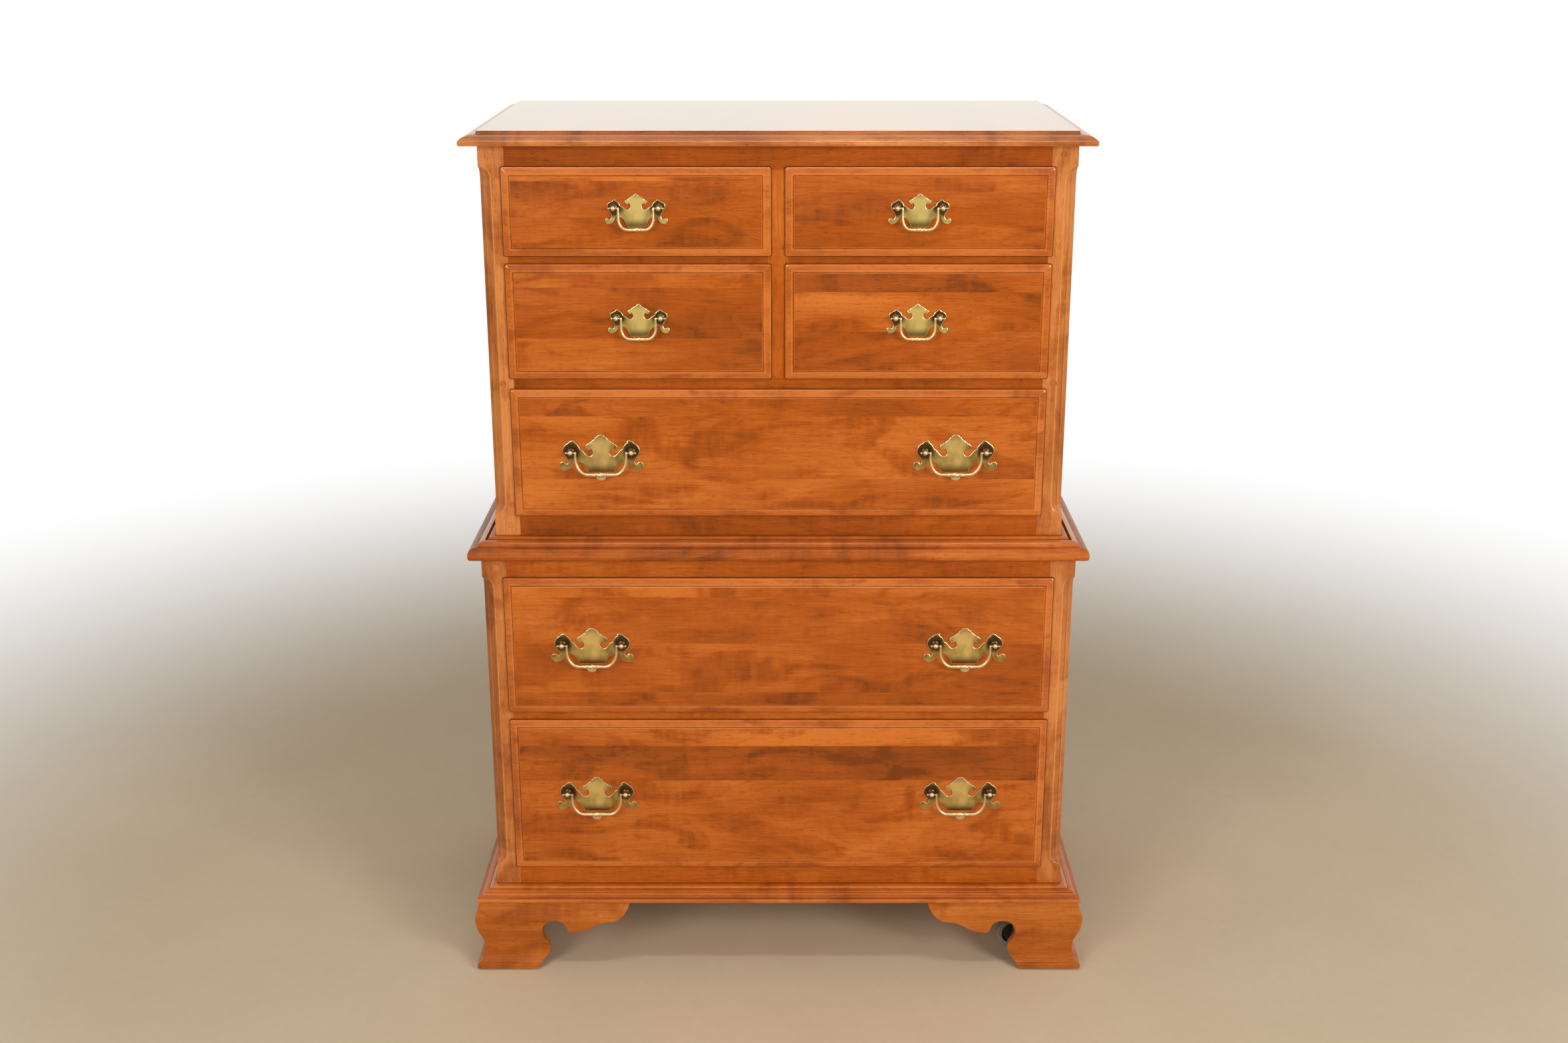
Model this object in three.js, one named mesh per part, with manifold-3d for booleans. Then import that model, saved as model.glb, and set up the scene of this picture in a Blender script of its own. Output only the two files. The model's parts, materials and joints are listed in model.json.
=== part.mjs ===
// Maple chest-on-chest: two cases of lipped drawers on ogee bracket feet, with
// moulded top, waist and base, stop-chamfered corner posts, bail pulls and swivel casters.
// Millimetres. X runs left to right seen from the front, Y from front to back, Z up from the floor.
import * as THREE from 'three';
import { mergeVertices } from 'three/addons/utils/BufferGeometryUtils.js';
import manifoldModule from 'manifold-3d';

const wasm = await manifoldModule();
wasm.setup();

// Gaps and overruns shared by every piece
const joint_gap = 0.3;
const cut_overrun = 6;
const weld_lap = 1;

// Heights, stacked from the floor up
const foot_lift = 2.5;
const foot_height = 113;
const base_height = 20.5;
const lower_case_height = 538;
const waist_height = 29;
const upper_case_height = 572;
const top_thickness = 19;

// The two cases: the upper one stands back from the lower one at the front and on both sides
const lower_case_width = 880;
const lower_case_depth = 479;
const upper_setback = 20.5;

// Boards of the cases
const side_thickness = 19;
const back_thickness = 6;
const back_rabbet_width = 9;
const post_width = 37;
const post_depth = 37;

// Stopped chamfer on the outer corner of each post, with two facets that meet in a ridge
const chamfer_face_width = 17;
const chamfer_side_width = 16;
const chamfer_ridge_from_side = 6.5;
const chamfer_ridge_depth = 8.2;
const chamfer_stop_above_foot = 29.5;
const chamfer_stop_below_head = 27;
const chamfer_runout = 23;
const chamfer_runout_fullness_share = 0.33;
const chamfer_runout_steps = 5;

// Rails, stiles and runners of the drawer frames
const rail_thickness = 22;
const rail_depth = 45;
const runner_width = 55;
const rear_rail_depth = 45;
const guide_height = 25;
const rear_stile_depth = 20;
const stile_depth = 22;
const centre_runner_width = 80;

// Drawer fronts: a thumbnail moulded lip laps over the posts and rails
const lip_lap_on_post = 6.2;
const lip_lap_on_stile = 5.2;
const lip_lap_on_end_rail = 5;
const stile_sight = 18.6;
const lip_edge_thickness = 2;
const lip_moulding_width = 13;
const lip_moulding_rise = 3.6;
const field_step = 1.2;
const field_step_width = 0.5;
const front_inset_thickness = 12;
const drawer_clearance = 1.5;

// Drawer boxes
const box_side_thickness = 11;
const box_back_thickness = 11;
const box_bottom_thickness = 5;
const box_bottom_raise = 8;
const box_headroom = 5;
const box_rear_clearance = 20;
const runner_clearance = 0.5;

// Rails as they show between the drawer lips, from the bottom of each case up
const lower_foot_rail_sight = 29;
const lower_middle_rail_sight = 12;
const lower_head_rail_sight = 30;
const upper_foot_rail_sight = 30.3;
const upper_middle_rail_sight = 14.5;
const upper_split_rail_sight = 10.2;
const upper_head_rail_sight = 30;

// The rows share the height that the rails leave, and each row's pulls sit above its middle
const fifth_pull_rise = 6.75;
const fourth_pull_rise = 5.55;
const third_pull_rise = 4.6;
const second_pull_rise = 8.2;
const top_pull_rise = 7.1;
const large_pull_from_drawer_end = 130.2;
const lower_rows = [
  { name: 'fifth', height_share: 0.5364, rail_sight: lower_foot_rail_sight, pull_rise: fifth_pull_rise },
  { name: 'fourth', height_share: 0.4636, rail_sight: lower_middle_rail_sight, pull_rise: fourth_pull_rise },
];
const upper_rows = [
  { name: 'third', height_share: 0.3967, rail_sight: upper_foot_rail_sight, pull_rise: third_pull_rise },
  {
    name: 'second', height_share: 0.3442, rail_sight: upper_middle_rail_sight, pull_rise: second_pull_rise,
    split: true,
  },
  {
    name: 'top', height_share: 0.2591, rail_sight: upper_split_rail_sight, pull_rise: top_pull_rise,
    split: true,
  },
];

// Mouldings: how far each tip stands out from the case beside it
const top_overhang = 23.8;
const top_field_inset = 1.5;
const top_step_height = 4.7;
const waist_overhang = 17.5;
const base_overhang = 30;
const frame_member_width = 80;

// Ogee bracket feet
const foot_projection = 33;
const front_bracket_length = 241;
const side_bracket_length = 190;
const scroll_run = 151;
const bracket_thickness = 22;
const rear_bracket_thickness = 19;
const rear_bracket_length = 150;
const rear_bracket_drop = 62;
const foot_block_width = 82;

// Swivel casters
const wheel_radius = 27;
const wheel_width = 20;
const wheel_facets = 18;
const wheel_bevel = 2;
const tyre_depth = 8;
const wheel_web_recess = 6;
const hub_radius = 8;
const axle_radius = 3;
const axle_clearance = 0.3;
const axle_facets = 10;
const caster_trail = 21.7;
const cheek_thickness = 2.5;
const cheek_boss_radius = 7.5;
const cheek_side_gap = 1.2;
const crown_radius = 15;
const crown_thickness = 4;
const crown_wheel_gap = 2.5;
const crown_facets = 14;
const stem_radius = 5;
const stem_length = 38;
const stem_clearance = 0.4;
const swing_clearance = 3;

// Bail pulls, in a large and a small size
const plate_thickness = 1.6;
const axis_projection = 12;
const post_ball_radius = 3.4;
const post_neck_radius = 2.5;
const post_flange_radius = 5.4;
const post_flange_thickness = 1.4;
const bolt_radius = 1.9;
const bolt_hole_clearance = 0.4;
const nut_radius = 4.2;
const nut_thickness = 3;
const pin_radius = 1.2;
const pin_clearance = 0.35;
const pin_end_gap = 0.5;
const pin_knob_radius = 1.9;
const turned_facets = 8;
const nut_facets = 6;
const post_facets = 6;
const large_pull = {
  boring: 88.9, plate_half_width: 61.7, plate_height: 57, bail_span: 74.2, bail_drop: 33.1,
  wire_radius: 2, straight_drop: 9, bar_half_length: 19, bead_radius: 3.1, collar_radius: 2.8,
  collar_offset: 9.5, pendant_width: 14.6, pendant_drop: 9.5,
};
const small_pull = {
  boring: 63.5, plate_half_width: 43.9, plate_height: 47.6, bail_span: 49.2, bail_drop: 30.1,
  wire_radius: 1.8, straight_drop: 15, bar_half_length: 12, bead_radius: 2.6, collar_radius: 2.4,
  collar_offset: 6.5, pendant_width: 0, pendant_drop: 0,
};
const bail_steps = 15;
const pendant_thickness = 2;

// Levels and faces worked out from the sizes above
const base_z = foot_lift + foot_height;
const lower_case_z = base_z + base_height;
const waist_z = lower_case_z + lower_case_height;
const upper_case_z = waist_z + waist_height;
const top_z = upper_case_z + upper_case_height;
const back_y = (lower_case_depth + foot_projection) / 2;
const lower_front_y = back_y - lower_case_depth;
const upper_front_y = lower_front_y + upper_setback;
const lower_half = lower_case_width / 2;
const upper_half = lower_half - upper_setback;
const upper_case_depth = lower_case_depth - upper_setback;
const stile_half = stile_sight / 2 + lip_lap_on_stile;

// Materials, one object for each node so that a finish can be set node by node
const finishes = {
  maple: { color: 0xb5682e, roughness: 0.42, metalness: 0 },
  inner_wood: { color: 0xc9a06a, roughness: 0.65, metalness: 0 },
  brass: { color: 0xa98f55, roughness: 0.35, metalness: 0.9 },
  steel: { color: 0x6f6f6c, roughness: 0.4, metalness: 0.8 },
  tyre: { color: 0x6a6763, roughness: 0.7, metalness: 0 },
};

const chest = new THREE.Group();

// A closed three.js geometry becomes a solid once only its positions are left and merged
function solid(source) {
  const plain = source.index ? source.toNonIndexed() : source.clone();
  plain.deleteAttribute('normal');
  plain.deleteAttribute('uv');
  const merged = mergeVertices(plain, 1e-4);
  const index = merged.getIndex().array;
  const faces = [];
  for (let i = 0; i < index.length; i += 3) {
    const [a, b, c] = [index[i], index[i + 1], index[i + 2]];
    if (a !== b && b !== c && c !== a) faces.push(a, b, c);
  }
  return new wasm.Manifold(new wasm.Mesh({
    numProp: 3,
    vertProperties: new Float32Array(merged.getAttribute('position').array),
    triVerts: new Uint32Array(faces),
  }));
}

function geometry_of(body) {
  const mesh = body.getMesh();
  const geometry = new THREE.BufferGeometry();
  geometry.setAttribute('position', new THREE.BufferAttribute(new Float32Array(mesh.vertProperties), 3));
  geometry.setIndex(new THREE.BufferAttribute(new Uint32Array(mesh.triVerts), 1));
  const flat = geometry.toNonIndexed();
  flat.computeVertexNormals();
  return flat;
}

function joined(bodies) {
  return bodies.reduce((sum, body) => sum.add(body));
}

// A geometry mirrored left to right, with each triangle turned so that it still faces out
function mirrored(geometry) {
  const copy = geometry.clone();
  const place = copy.getAttribute('position');
  for (let i = 0; i < place.count; i += 3) {
    const first = [place.getX(i), place.getY(i), place.getZ(i)];
    const second = [place.getX(i + 1), place.getY(i + 1), place.getZ(i + 1)];
    const third = [place.getX(i + 2), place.getY(i + 2), place.getZ(i + 2)];
    place.setXYZ(i, -first[0], first[1], first[2]);
    place.setXYZ(i + 1, -third[0], third[1], third[2]);
    place.setXYZ(i + 2, -second[0], second[1], second[2]);
  }
  copy.computeVertexNormals();
  return copy;
}

function block(x_low, x_high, y_low, y_high, z_low, z_high) {
  const box = new THREE.BoxGeometry(x_high - x_low, y_high - y_low, z_high - z_low);
  box.translate((x_low + x_high) / 2, (y_low + y_high) / 2, (z_low + z_high) / 2);
  return solid(box);
}

function outline_shape(points) {
  return new THREE.Shape(points.map(([across, up]) => new THREE.Vector2(across, up)));
}

// Prisms: an outline of [y, z] points swept along X, of [x, z] along Y, and of [x, y] along Z
function prism_x(points, x_low, x_high) {
  const prism = new THREE.ExtrudeGeometry(outline_shape(points), { depth: x_high - x_low, bevelEnabled: false });
  prism.rotateX(Math.PI / 2);
  prism.rotateZ(Math.PI / 2);
  prism.translate(x_low, 0, 0);
  return solid(prism);
}

function prism_y(points, y_low, y_high) {
  const prism = new THREE.ExtrudeGeometry(outline_shape(points), { depth: y_high - y_low, bevelEnabled: false });
  prism.rotateX(Math.PI / 2);
  prism.translate(0, y_high, 0);
  return solid(prism);
}

function prism_z(points, z_low, z_high) {
  const prism = new THREE.ExtrudeGeometry(outline_shape(points), { depth: z_high - z_low, bevelEnabled: false });
  prism.translate(0, 0, z_low);
  return solid(prism);
}

// Turned solids: profile points are [radius, distance along the axis]
function turned_y(points, facets) {
  const profile = points.map(([radius, along]) => new THREE.Vector2(radius, along));
  return solid(new THREE.LatheGeometry(profile, facets));
}

function turned_z(points, facets) {
  const profile = points.map(([radius, along]) => new THREE.Vector2(radius, along));
  const lathe = new THREE.LatheGeometry(profile, facets);
  lathe.rotateX(Math.PI / 2);
  return solid(lathe);
}

function turned_x(points, facets) {
  const profile = points.map(([radius, along]) => new THREE.Vector2(radius, along));
  const lathe = new THREE.LatheGeometry(profile, facets);
  lathe.rotateY(Math.PI / facets);
  lathe.rotateZ(-Math.PI / 2);
  return solid(lathe);
}

function rod_profile(radius, low, high) {
  return [[0, low], [radius, low], [radius, high], [0, high]];
}

function add_piece(parent, name, geometry, finish) {
  const piece = new THREE.Mesh(geometry, new THREE.MeshStandardMaterial(finishes[finish]));
  piece.name = name;
  parent.add(piece);
  return piece;
}

// A half outline that runs down the right side, with its left side added from the bottom up
function mirrored_outline(half) {
  const left = half.filter(([across]) => across > 0).map(([across, up]) => [-across, up]);
  return half.concat(left.reverse());
}

// Mitred mouldings. A profile is a list of [out, up] points, from the bottom up, that stand out
// from a face. The solid is a rectangle in plan at every height, flush at the back.
function mitred_solid(profile, half_width, front_y) {
  const across = mirrored_outline(profile.map(([out, up]) => [half_width + out, up]).reverse());
  const rear_rise = [...profile].reverse().map(([, up]) => up);
  const along = profile.map(([out, up]) => [front_y - out, up]);
  along.push([back_y, rear_rise[0]]);
  along.push([back_y, rear_rise[rear_rise.length - 1]]);
  const reach = half_width + Math.max(...profile.map(([out]) => out)) + cut_overrun;
  const front_reach = front_y - Math.max(...profile.map(([out]) => out)) - cut_overrun;
  return prism_x(along.reverse(), -reach, reach).intersect(prism_y(across, front_reach, back_y + cut_overrun));
}

function scaled_profile(shares, out_scale, height, out_base, up_base) {
  return shares.map(([out, up]) => [out_base + out * out_scale, up_base + up * height]);
}

// Top board: a raised field, a small step and a thumbnail edge that rolls to a flat underside
const top_edge_shares = [
  [0.93, 0], [0.985, 0.06], [1, 0.19], [0.985, 0.36], [0.86, 0.62], [0.65, 0.84], [0.37, 0.97], [0.06, 1],
];

function top_board() {
  const edge_height = top_thickness - top_step_height;
  const profile = scaled_profile(top_edge_shares, top_overhang, edge_height, 0, top_z);
  profile.push([-top_field_inset, top_z + edge_height + joint_gap]);
  profile.push([-top_field_inset, top_z + top_thickness]);
  add_piece(chest, 'top_board', geometry_of(mitred_solid(profile, upper_half, upper_front_y)), 'maple');
}

// Waist moulding: big round at the bottom, a fillet, a quarter round and a flat nose on top
const waist_edge_shares = [
  [0.9, 0], [0.98, 0.09], [1, 0.26], [0.97, 0.42], [0.89, 0.55], [0.82, 0.61], [0.68, 0.62], [0.67, 0.68],
  [0.62, 0.7], [0.6, 0.81], [0.52, 0.9], [0.38, 0.95], [0.28, 0.94], [0.25, 0.97], [0.22, 1],
];

function waist_moulding() {
  const out_scale = upper_setback + waist_overhang;
  const profile = scaled_profile(waist_edge_shares, out_scale, waist_height - joint_gap, 0, waist_z);
  const outer = mitred_solid(profile, upper_half, upper_front_y);
  const inner_half = lower_half - frame_member_width;
  const rear_y = back_y - back_thickness - joint_gap;
  const z_low = waist_z - cut_overrun;
  const z_high = upper_case_z + cut_overrun;
  const hole = block(
    -inner_half, inner_half, lower_front_y + frame_member_width, rear_y - frame_member_width, z_low, z_high);
  const notch_half = lower_half - side_thickness + back_rabbet_width + joint_gap;
  const notch = block(-notch_half, notch_half, rear_y, back_y + cut_overrun, z_low, z_high);
  add_piece(chest, 'waist_moulding', geometry_of(outer.subtract(hole).subtract(notch)), 'maple');
}

// Base moulding: torus, hollow, small bead and a quarter round that dies against the case
const base_edge_shares = [
  [0.9, 0], [0.97, 0.1], [1, 0.24], [0.97, 0.38], [0.88, 0.48], [0.76, 0.54], [0.68, 0.6], [0.66, 0.7],
  [0.56, 0.76], [0.53, 0.81], [0.4, 0.85], [0.38, 0.9], [0.33, 0.96], [0.24, 1],
];

function base_moulding() {
  const profile = scaled_profile(base_edge_shares, base_overhang, base_height - joint_gap, 0, base_z);
  const outer = mitred_solid(profile, lower_half, lower_front_y);
  const inner_half = lower_half - frame_member_width;
  const hole = block(
    -inner_half, inner_half, lower_front_y + frame_member_width, back_y - frame_member_width,
    base_z - cut_overrun, lower_case_z + cut_overrun);
  add_piece(chest, 'base_moulding', geometry_of(outer.subtract(hole)), 'maple');
}

// Corner posts. The chamfer's facets are a prism along the post, and a scoop that runs out to
// the corner at both ends bounds it, so that each stop ends in a lamb's tongue.
function corner_post(height) {
  const post = block(0, post_width, 0, post_depth, 0, height);
  const facets = prism_z([
    [post_width - chamfer_face_width, 0],
    [post_width - chamfer_face_width, -cut_overrun],
    [post_width + cut_overrun, -cut_overrun],
    [post_width + cut_overrun, chamfer_side_width],
    [post_width, chamfer_side_width],
    [post_width - chamfer_ridge_from_side, chamfer_ridge_depth],
  ], 0, height);
  const full_depth = Math.max(chamfer_face_width, chamfer_side_width);
  const low = chamfer_stop_above_foot;
  const high = height - chamfer_stop_below_head;
  const bend = chamfer_runout * chamfer_runout_fullness_share;
  const reach = post_width + post_depth;
  const side_view = new THREE.Shape();
  side_view.moveTo(-reach, low);
  side_view.lineTo(0, low);
  side_view.quadraticCurveTo(full_depth, low + bend, full_depth, low + chamfer_runout);
  side_view.lineTo(full_depth, high - chamfer_runout);
  side_view.quadraticCurveTo(full_depth, high - bend, 0, high);
  side_view.lineTo(-reach, high);
  const scoop_points = side_view.getPoints(chamfer_runout_steps);
  const scoop = new THREE.ExtrudeGeometry(new THREE.Shape(scoop_points), { depth: 2 * reach, bevelEnabled: false });
  scoop.rotateX(Math.PI / 2);
  scoop.translate(0, reach, 0);
  scoop.rotateZ(Math.PI * 3 / 4);
  scoop.translate(post_width, 0, 0);
  return geometry_of(post.subtract(facets.intersect(solid(scoop))));
}

function case_posts(label, half_width, front_y, case_z, height) {
  const shape = corner_post(height - joint_gap);
  const right = add_piece(chest, `${label}_right_post`, shape, 'maple');
  right.position.set(half_width - post_width, front_y, case_z);
  const left = add_piece(chest, `${label}_left_post`, mirrored(shape), 'maple');
  left.position.set(post_width - half_width, front_y, case_z);
}

// Case sides, with a rabbet along the rear inner edge for the back
function case_sides(label, half_width, front_y, case_z, height) {
  const start_y = front_y + post_depth + joint_gap;
  const inner = half_width - side_thickness;
  const panel = block(inner, half_width, start_y, back_y, 0, height - joint_gap);
  const rabbet_edge = inner + back_rabbet_width + joint_gap;
  const rabbet_y = back_y - back_thickness - joint_gap;
  const rabbet = block(
    inner - cut_overrun, rabbet_edge, rabbet_y, back_y + cut_overrun, -cut_overrun, height + cut_overrun);
  const shape = geometry_of(panel.subtract(rabbet));
  add_piece(chest, `${label}_right_side`, shape, 'maple').position.z = case_z;
  add_piece(chest, `${label}_left_side`, mirrored(shape), 'maple').position.z = case_z;
}

// One back sheet closes both cases and steps in where the upper case begins
function back_panel() {
  const low_half = lower_half - side_thickness + back_rabbet_width;
  const high_half = upper_half - side_thickness + back_rabbet_width;
  const half = [
    [high_half, top_z - joint_gap],
    [high_half, upper_case_z - joint_gap],
    [low_half, upper_case_z - joint_gap],
    [low_half, lower_case_z],
  ];
  const sheet = prism_y(mirrored_outline(half), back_y - back_thickness, back_y);
  add_piece(chest, 'back_panel', geometry_of(sheet), 'inner_wood');
}

// Places of the drawer lips and of the openings between the rails of one case
function drawer_rows(rows, case_z, height, head_sight) {
  const clear_height = height - rows.reduce((sum, row) => sum + row.rail_sight, head_sight);
  let level = case_z;
  const placed = rows.map((row) => {
    const lip_low = level + row.rail_sight;
    level = lip_low + clear_height * row.height_share;
    return { ...row, lip_low, lip_high: level };
  });
  placed.forEach((row, i) => {
    const below = placed[i - 1];
    const above = placed[i + 1];
    row.opening_low = below
      ? (below.lip_high + row.lip_low) / 2 + rail_thickness / 2 : row.lip_low + lip_lap_on_end_rail;
    row.opening_high = above
      ? (row.lip_high + above.lip_low) / 2 - rail_thickness / 2 : row.lip_high - lip_lap_on_end_rail;
  });
  return { rows: placed, case_z, case_top: case_z + height - joint_gap };
}

const lower_drawers = drawer_rows(lower_rows, lower_case_z, lower_case_height, lower_head_rail_sight);
const upper_drawers = drawer_rows(upper_rows, upper_case_z, upper_case_height, upper_head_rail_sight);

// A drawer frame: front rails between the posts, runners and a rear rail at each level,
// guides beside the drawers, rear stiles and, where a row is split, a centre stile and runner
function drawer_frame(label, drawers, half_width, front_y) {
  const rail_half = half_width - post_width - joint_gap;
  const inner_half = half_width - side_thickness - joint_gap;
  const opening_half = half_width - post_width;
  const behind_post_y = front_y + post_depth + joint_gap;
  const rear_y = back_y - back_thickness - joint_gap;
  const { rows, case_z, case_top } = drawers;
  const levels = rows.map((row, i) => ({
    rail_low: i ? rows[i - 1].opening_high : case_z,
    rail_high: row.opening_low,
    web_low: i ? rows[i - 1].opening_high : row.opening_low - rail_thickness,
    web_high: row.opening_low,
    split: Boolean(row.split || (i && rows[i - 1].split)),
    guides_above: true,
  }));
  const top_row = rows[rows.length - 1];
  levels.push({
    rail_low: top_row.opening_high,
    rail_high: case_top,
    web_low: top_row.opening_high,
    web_high: top_row.opening_high + rail_thickness,
    split: Boolean(top_row.split),
    guides_above: false,
  });
  const members = [];
  levels.forEach((level, i) => {
    members.push(block(-rail_half, rail_half, front_y, front_y + rail_depth, level.rail_low, level.rail_high));
    members.push(block(
      -inner_half, inner_half, rear_y - rear_rail_depth, rear_y, level.web_low, level.web_high));
    for (const side of [-1, 1]) {
      const edges = [side * (inner_half - runner_width), side * inner_half].sort((a, b) => a - b);
      members.push(block(edges[0], edges[1], behind_post_y, rear_y, level.web_low, level.web_high));
      if (!level.guides_above) continue;
      const guide = [side * opening_half, side * inner_half].sort((a, b) => a - b);
      members.push(block(
        guide[0], guide[1], behind_post_y, rear_y, level.web_low + weld_lap, level.web_high + guide_height));
    }
    if (!level.split) return;
    const centre_half = centre_runner_width / 2;
    members.push(block(-centre_half, centre_half, front_y + weld_lap, rear_y, level.web_low, level.web_high));
    if (!rows[i]?.split) return;
    members.push(block(
      -stile_half, stile_half, front_y + stile_depth, rear_y, level.web_low + weld_lap,
      level.web_high + guide_height));
    members.push(block(
      -stile_half, stile_half, front_y, front_y + stile_depth + weld_lap, level.rail_low + weld_lap,
      rows[i].opening_high + weld_lap));
  });
  for (const side of [-1, 1]) {
    const stile = [side * opening_half, side * inner_half].sort((a, b) => a - b);
    members.push(block(
      stile[0], stile[1], rear_y - rear_stile_depth, rear_y, levels[0].web_low + weld_lap,
      levels[levels.length - 1].web_high - weld_lap));
  }
  add_piece(chest, `${label}_drawer_frame`, geometry_of(joined(members)), 'inner_wood');
}

// Thumbnail moulding of a lip, from its outer edge to the raised field, as shares of its width and rise
const thumbnail_shares = [[0, 0], [0.04, 0.18], [0.3, 0.5], [0.65, 0.82], [1, 1]];

// Section of a drawer front from one lip edge to the other, as [across, y] points:
// the moulded lip stands in front of the case, the body fills the opening
function front_section(lip_low, lip_high, body_low, body_high) {
  const lip_back = -joint_gap;
  const edge_y = lip_back - lip_edge_thickness;
  const crest_y = edge_y - lip_moulding_rise;
  const field_y = crest_y - field_step;
  const round = [];
  for (const [width_share, rise_share] of thumbnail_shares) {
    round.push([lip_moulding_width * width_share, edge_y - lip_moulding_rise * rise_share]);
  }
  const field_inset = lip_moulding_width + field_step_width;
  const low = round.map(([inset, y]) => [lip_low + inset, y]);
  const high = round.map(([inset, y]) => [lip_high - inset, y]).reverse();
  return [
    [body_low, front_inset_thickness], [body_low, lip_back], [lip_low, lip_back], ...low,
    [lip_low + field_inset, field_y], [lip_high - field_inset, field_y],
    ...high, [lip_high, lip_back], [body_high, lip_back], [body_high, front_inset_thickness],
  ];
}

const field_reach = joint_gap + lip_edge_thickness + lip_moulding_rise + field_step;

function drawer_front(size, pulls) {
  const upright = front_section(size.lip_z[0], size.lip_z[1], size.body_z[0], size.body_z[1]);
  const level = front_section(size.lip_x[0], size.lip_x[1], size.body_x[0], size.body_x[1]);
  const x_low = size.lip_x[0] - cut_overrun;
  const x_high = size.lip_x[1] + cut_overrun;
  const z_low = size.lip_z[0] - cut_overrun;
  const z_high = size.lip_z[1] + cut_overrun;
  const along_x = prism_x(upright.map(([up, y]) => [y, up]), x_low, x_high);
  let board = along_x.intersect(prism_z(level, z_low, z_high));
  const drill = turned_y(
    rod_profile(bolt_radius + bolt_hole_clearance, -field_reach - cut_overrun, front_inset_thickness + cut_overrun),
    turned_facets);
  for (const pull of pulls) {
    for (const side of [-1, 1]) {
      board = board.subtract(drill.translate([pull.x + side * pull.kind.boring / 2, 0, pull.z]));
    }
  }
  return geometry_of(board);
}

// Drawer box: two sides, a back and a raised bottom, open on top and closed in front by the front
function drawer_box(size, depth) {
  const start_y = front_inset_thickness + joint_gap;
  const end_y = start_y + depth;
  const [x_low, x_high] = size.body_x;
  const z_low = size.opening_z[0] + runner_clearance;
  const z_high = size.opening_z[1] - box_headroom;
  const left = block(x_low, x_low + box_side_thickness, start_y, end_y, z_low, z_high);
  const right = block(x_high - box_side_thickness, x_high, start_y, end_y, z_low, z_high);
  const back = block(x_low + weld_lap, x_high - weld_lap, end_y - box_back_thickness, end_y, z_low, z_high);
  const bottom_z = z_low + box_bottom_raise;
  const bottom = block(
    x_low + weld_lap, x_high - weld_lap, start_y, end_y - weld_lap, bottom_z, bottom_z + box_bottom_thickness);
  return geometry_of(joined([left, right, back, bottom]));
}

// Pull plates: half outlines from the top of the finial down the right side to the foot, as
// [share of half width, share of height above the post axis]
const large_plate_shares = [
  [0, 0.439], [0.058, 0.43], [0.128, 0.349], [0.22, 0.249], [0.266, 0.225], [0.347, 0.174],
  [0.379, 0.112], [0.352, 0.049], [0.243, 0.049], [0.209, 0.025], [0.196, -0.039], [0.22, -0.102],
  [0.277, -0.133], [0.347, -0.102], [0.498, 0.056], [0.52, 0.112], [0.567, 0.186], [0.626, 0.237],
  [0.598, 0.256], [0.682, 0.282], [0.788, 0.212], [0.857, 0.161], [0.919, 0.025], [0.903, -0.063],
  [0.81, -0.214], [0.799, -0.289], [0.861, -0.314], [0.914, -0.277], [0.972, -0.302], [1, -0.377],
  [0.972, -0.453], [0.914, -0.477], [0.857, -0.511], [0.763, -0.477], [0.695, -0.402], [0.66, -0.289],
  [0.614, -0.239], [0.464, -0.326], [0.382, -0.402], [0.324, -0.502], [0.313, -0.561], [0, -0.561],
];
const small_plate_shares = [
  [0, 0.414], [0.144, 0.319], [0.271, 0.237], [0.321, 0.214], [0.358, 0.164], [0.321, 0.109],
  [0.232, 0.118], [0.196, 0.086], [0.182, 0.027], [0.207, -0.029], [0.346, -0.042], [0.424, 0.017],
  [0.51, 0.063], [0.538, 0.122], [0.651, 0.204], [0.62, 0.218], [0.702, 0.227], [0.777, 0.181],
  [0.866, 0.145], [0.934, 0.04], [0.916, -0.042], [0.815, -0.183], [0.802, -0.311], [0.847, -0.374],
  [0.954, -0.317], [1, -0.357], [1, -0.416], [0.95, -0.481], [0.879, -0.489], [0.777, -0.462],
  [0.702, -0.38], [0.663, -0.288], [0.613, -0.265], [0.449, -0.321], [0.385, -0.393], [0.296, -0.555],
  [0.257, -0.586], [0, -0.586],
];

function pull_plate(kind, shares) {
  const outline = mirrored_outline(
    shares.map(([across, up]) => [across * kind.plate_half_width, up * kind.plate_height]));
  const plate_back = -field_reach - joint_gap;
  const plate_front = plate_back - plate_thickness;
  const plate = prism_y([...outline].reverse(), plate_front, plate_back);
  const axis_y = -field_reach - axis_projection;
  const flange_y = plate_front - post_flange_thickness;
  const nut_y = front_inset_thickness + joint_gap;
  const ball_join = Math.sqrt(post_ball_radius ** 2 - post_neck_radius ** 2);
  const seat_y = plate_back - plate_thickness / 2;
  const bolt = turned_y([
    [0, seat_y], [bolt_radius, seat_y], [bolt_radius, nut_y], [nut_radius, nut_y],
    [nut_radius, nut_y + nut_thickness], [0, nut_y + nut_thickness],
  ], nut_facets);
  const post = turned_y([
    [0, axis_y - post_ball_radius], [post_neck_radius, axis_y - ball_join], [post_ball_radius, axis_y],
    [post_neck_radius, axis_y + ball_join], [post_neck_radius, flange_y - post_flange_thickness],
    [post_flange_radius, flange_y], [post_flange_radius, seat_y], [0, seat_y],
  ], post_facets);
  const bore = turned_x(rod_profile(pin_radius + pin_clearance, -cut_overrun, cut_overrun), turned_facets);
  const bored_post = post.subtract(bore.translate([0, axis_y, 0]));
  const posts = [-1, 1].map((side) => bored_post.add(bolt).translate([side * kind.boring / 2, 0, 0]));
  return geometry_of(joined([plate, ...posts]));
}

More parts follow.
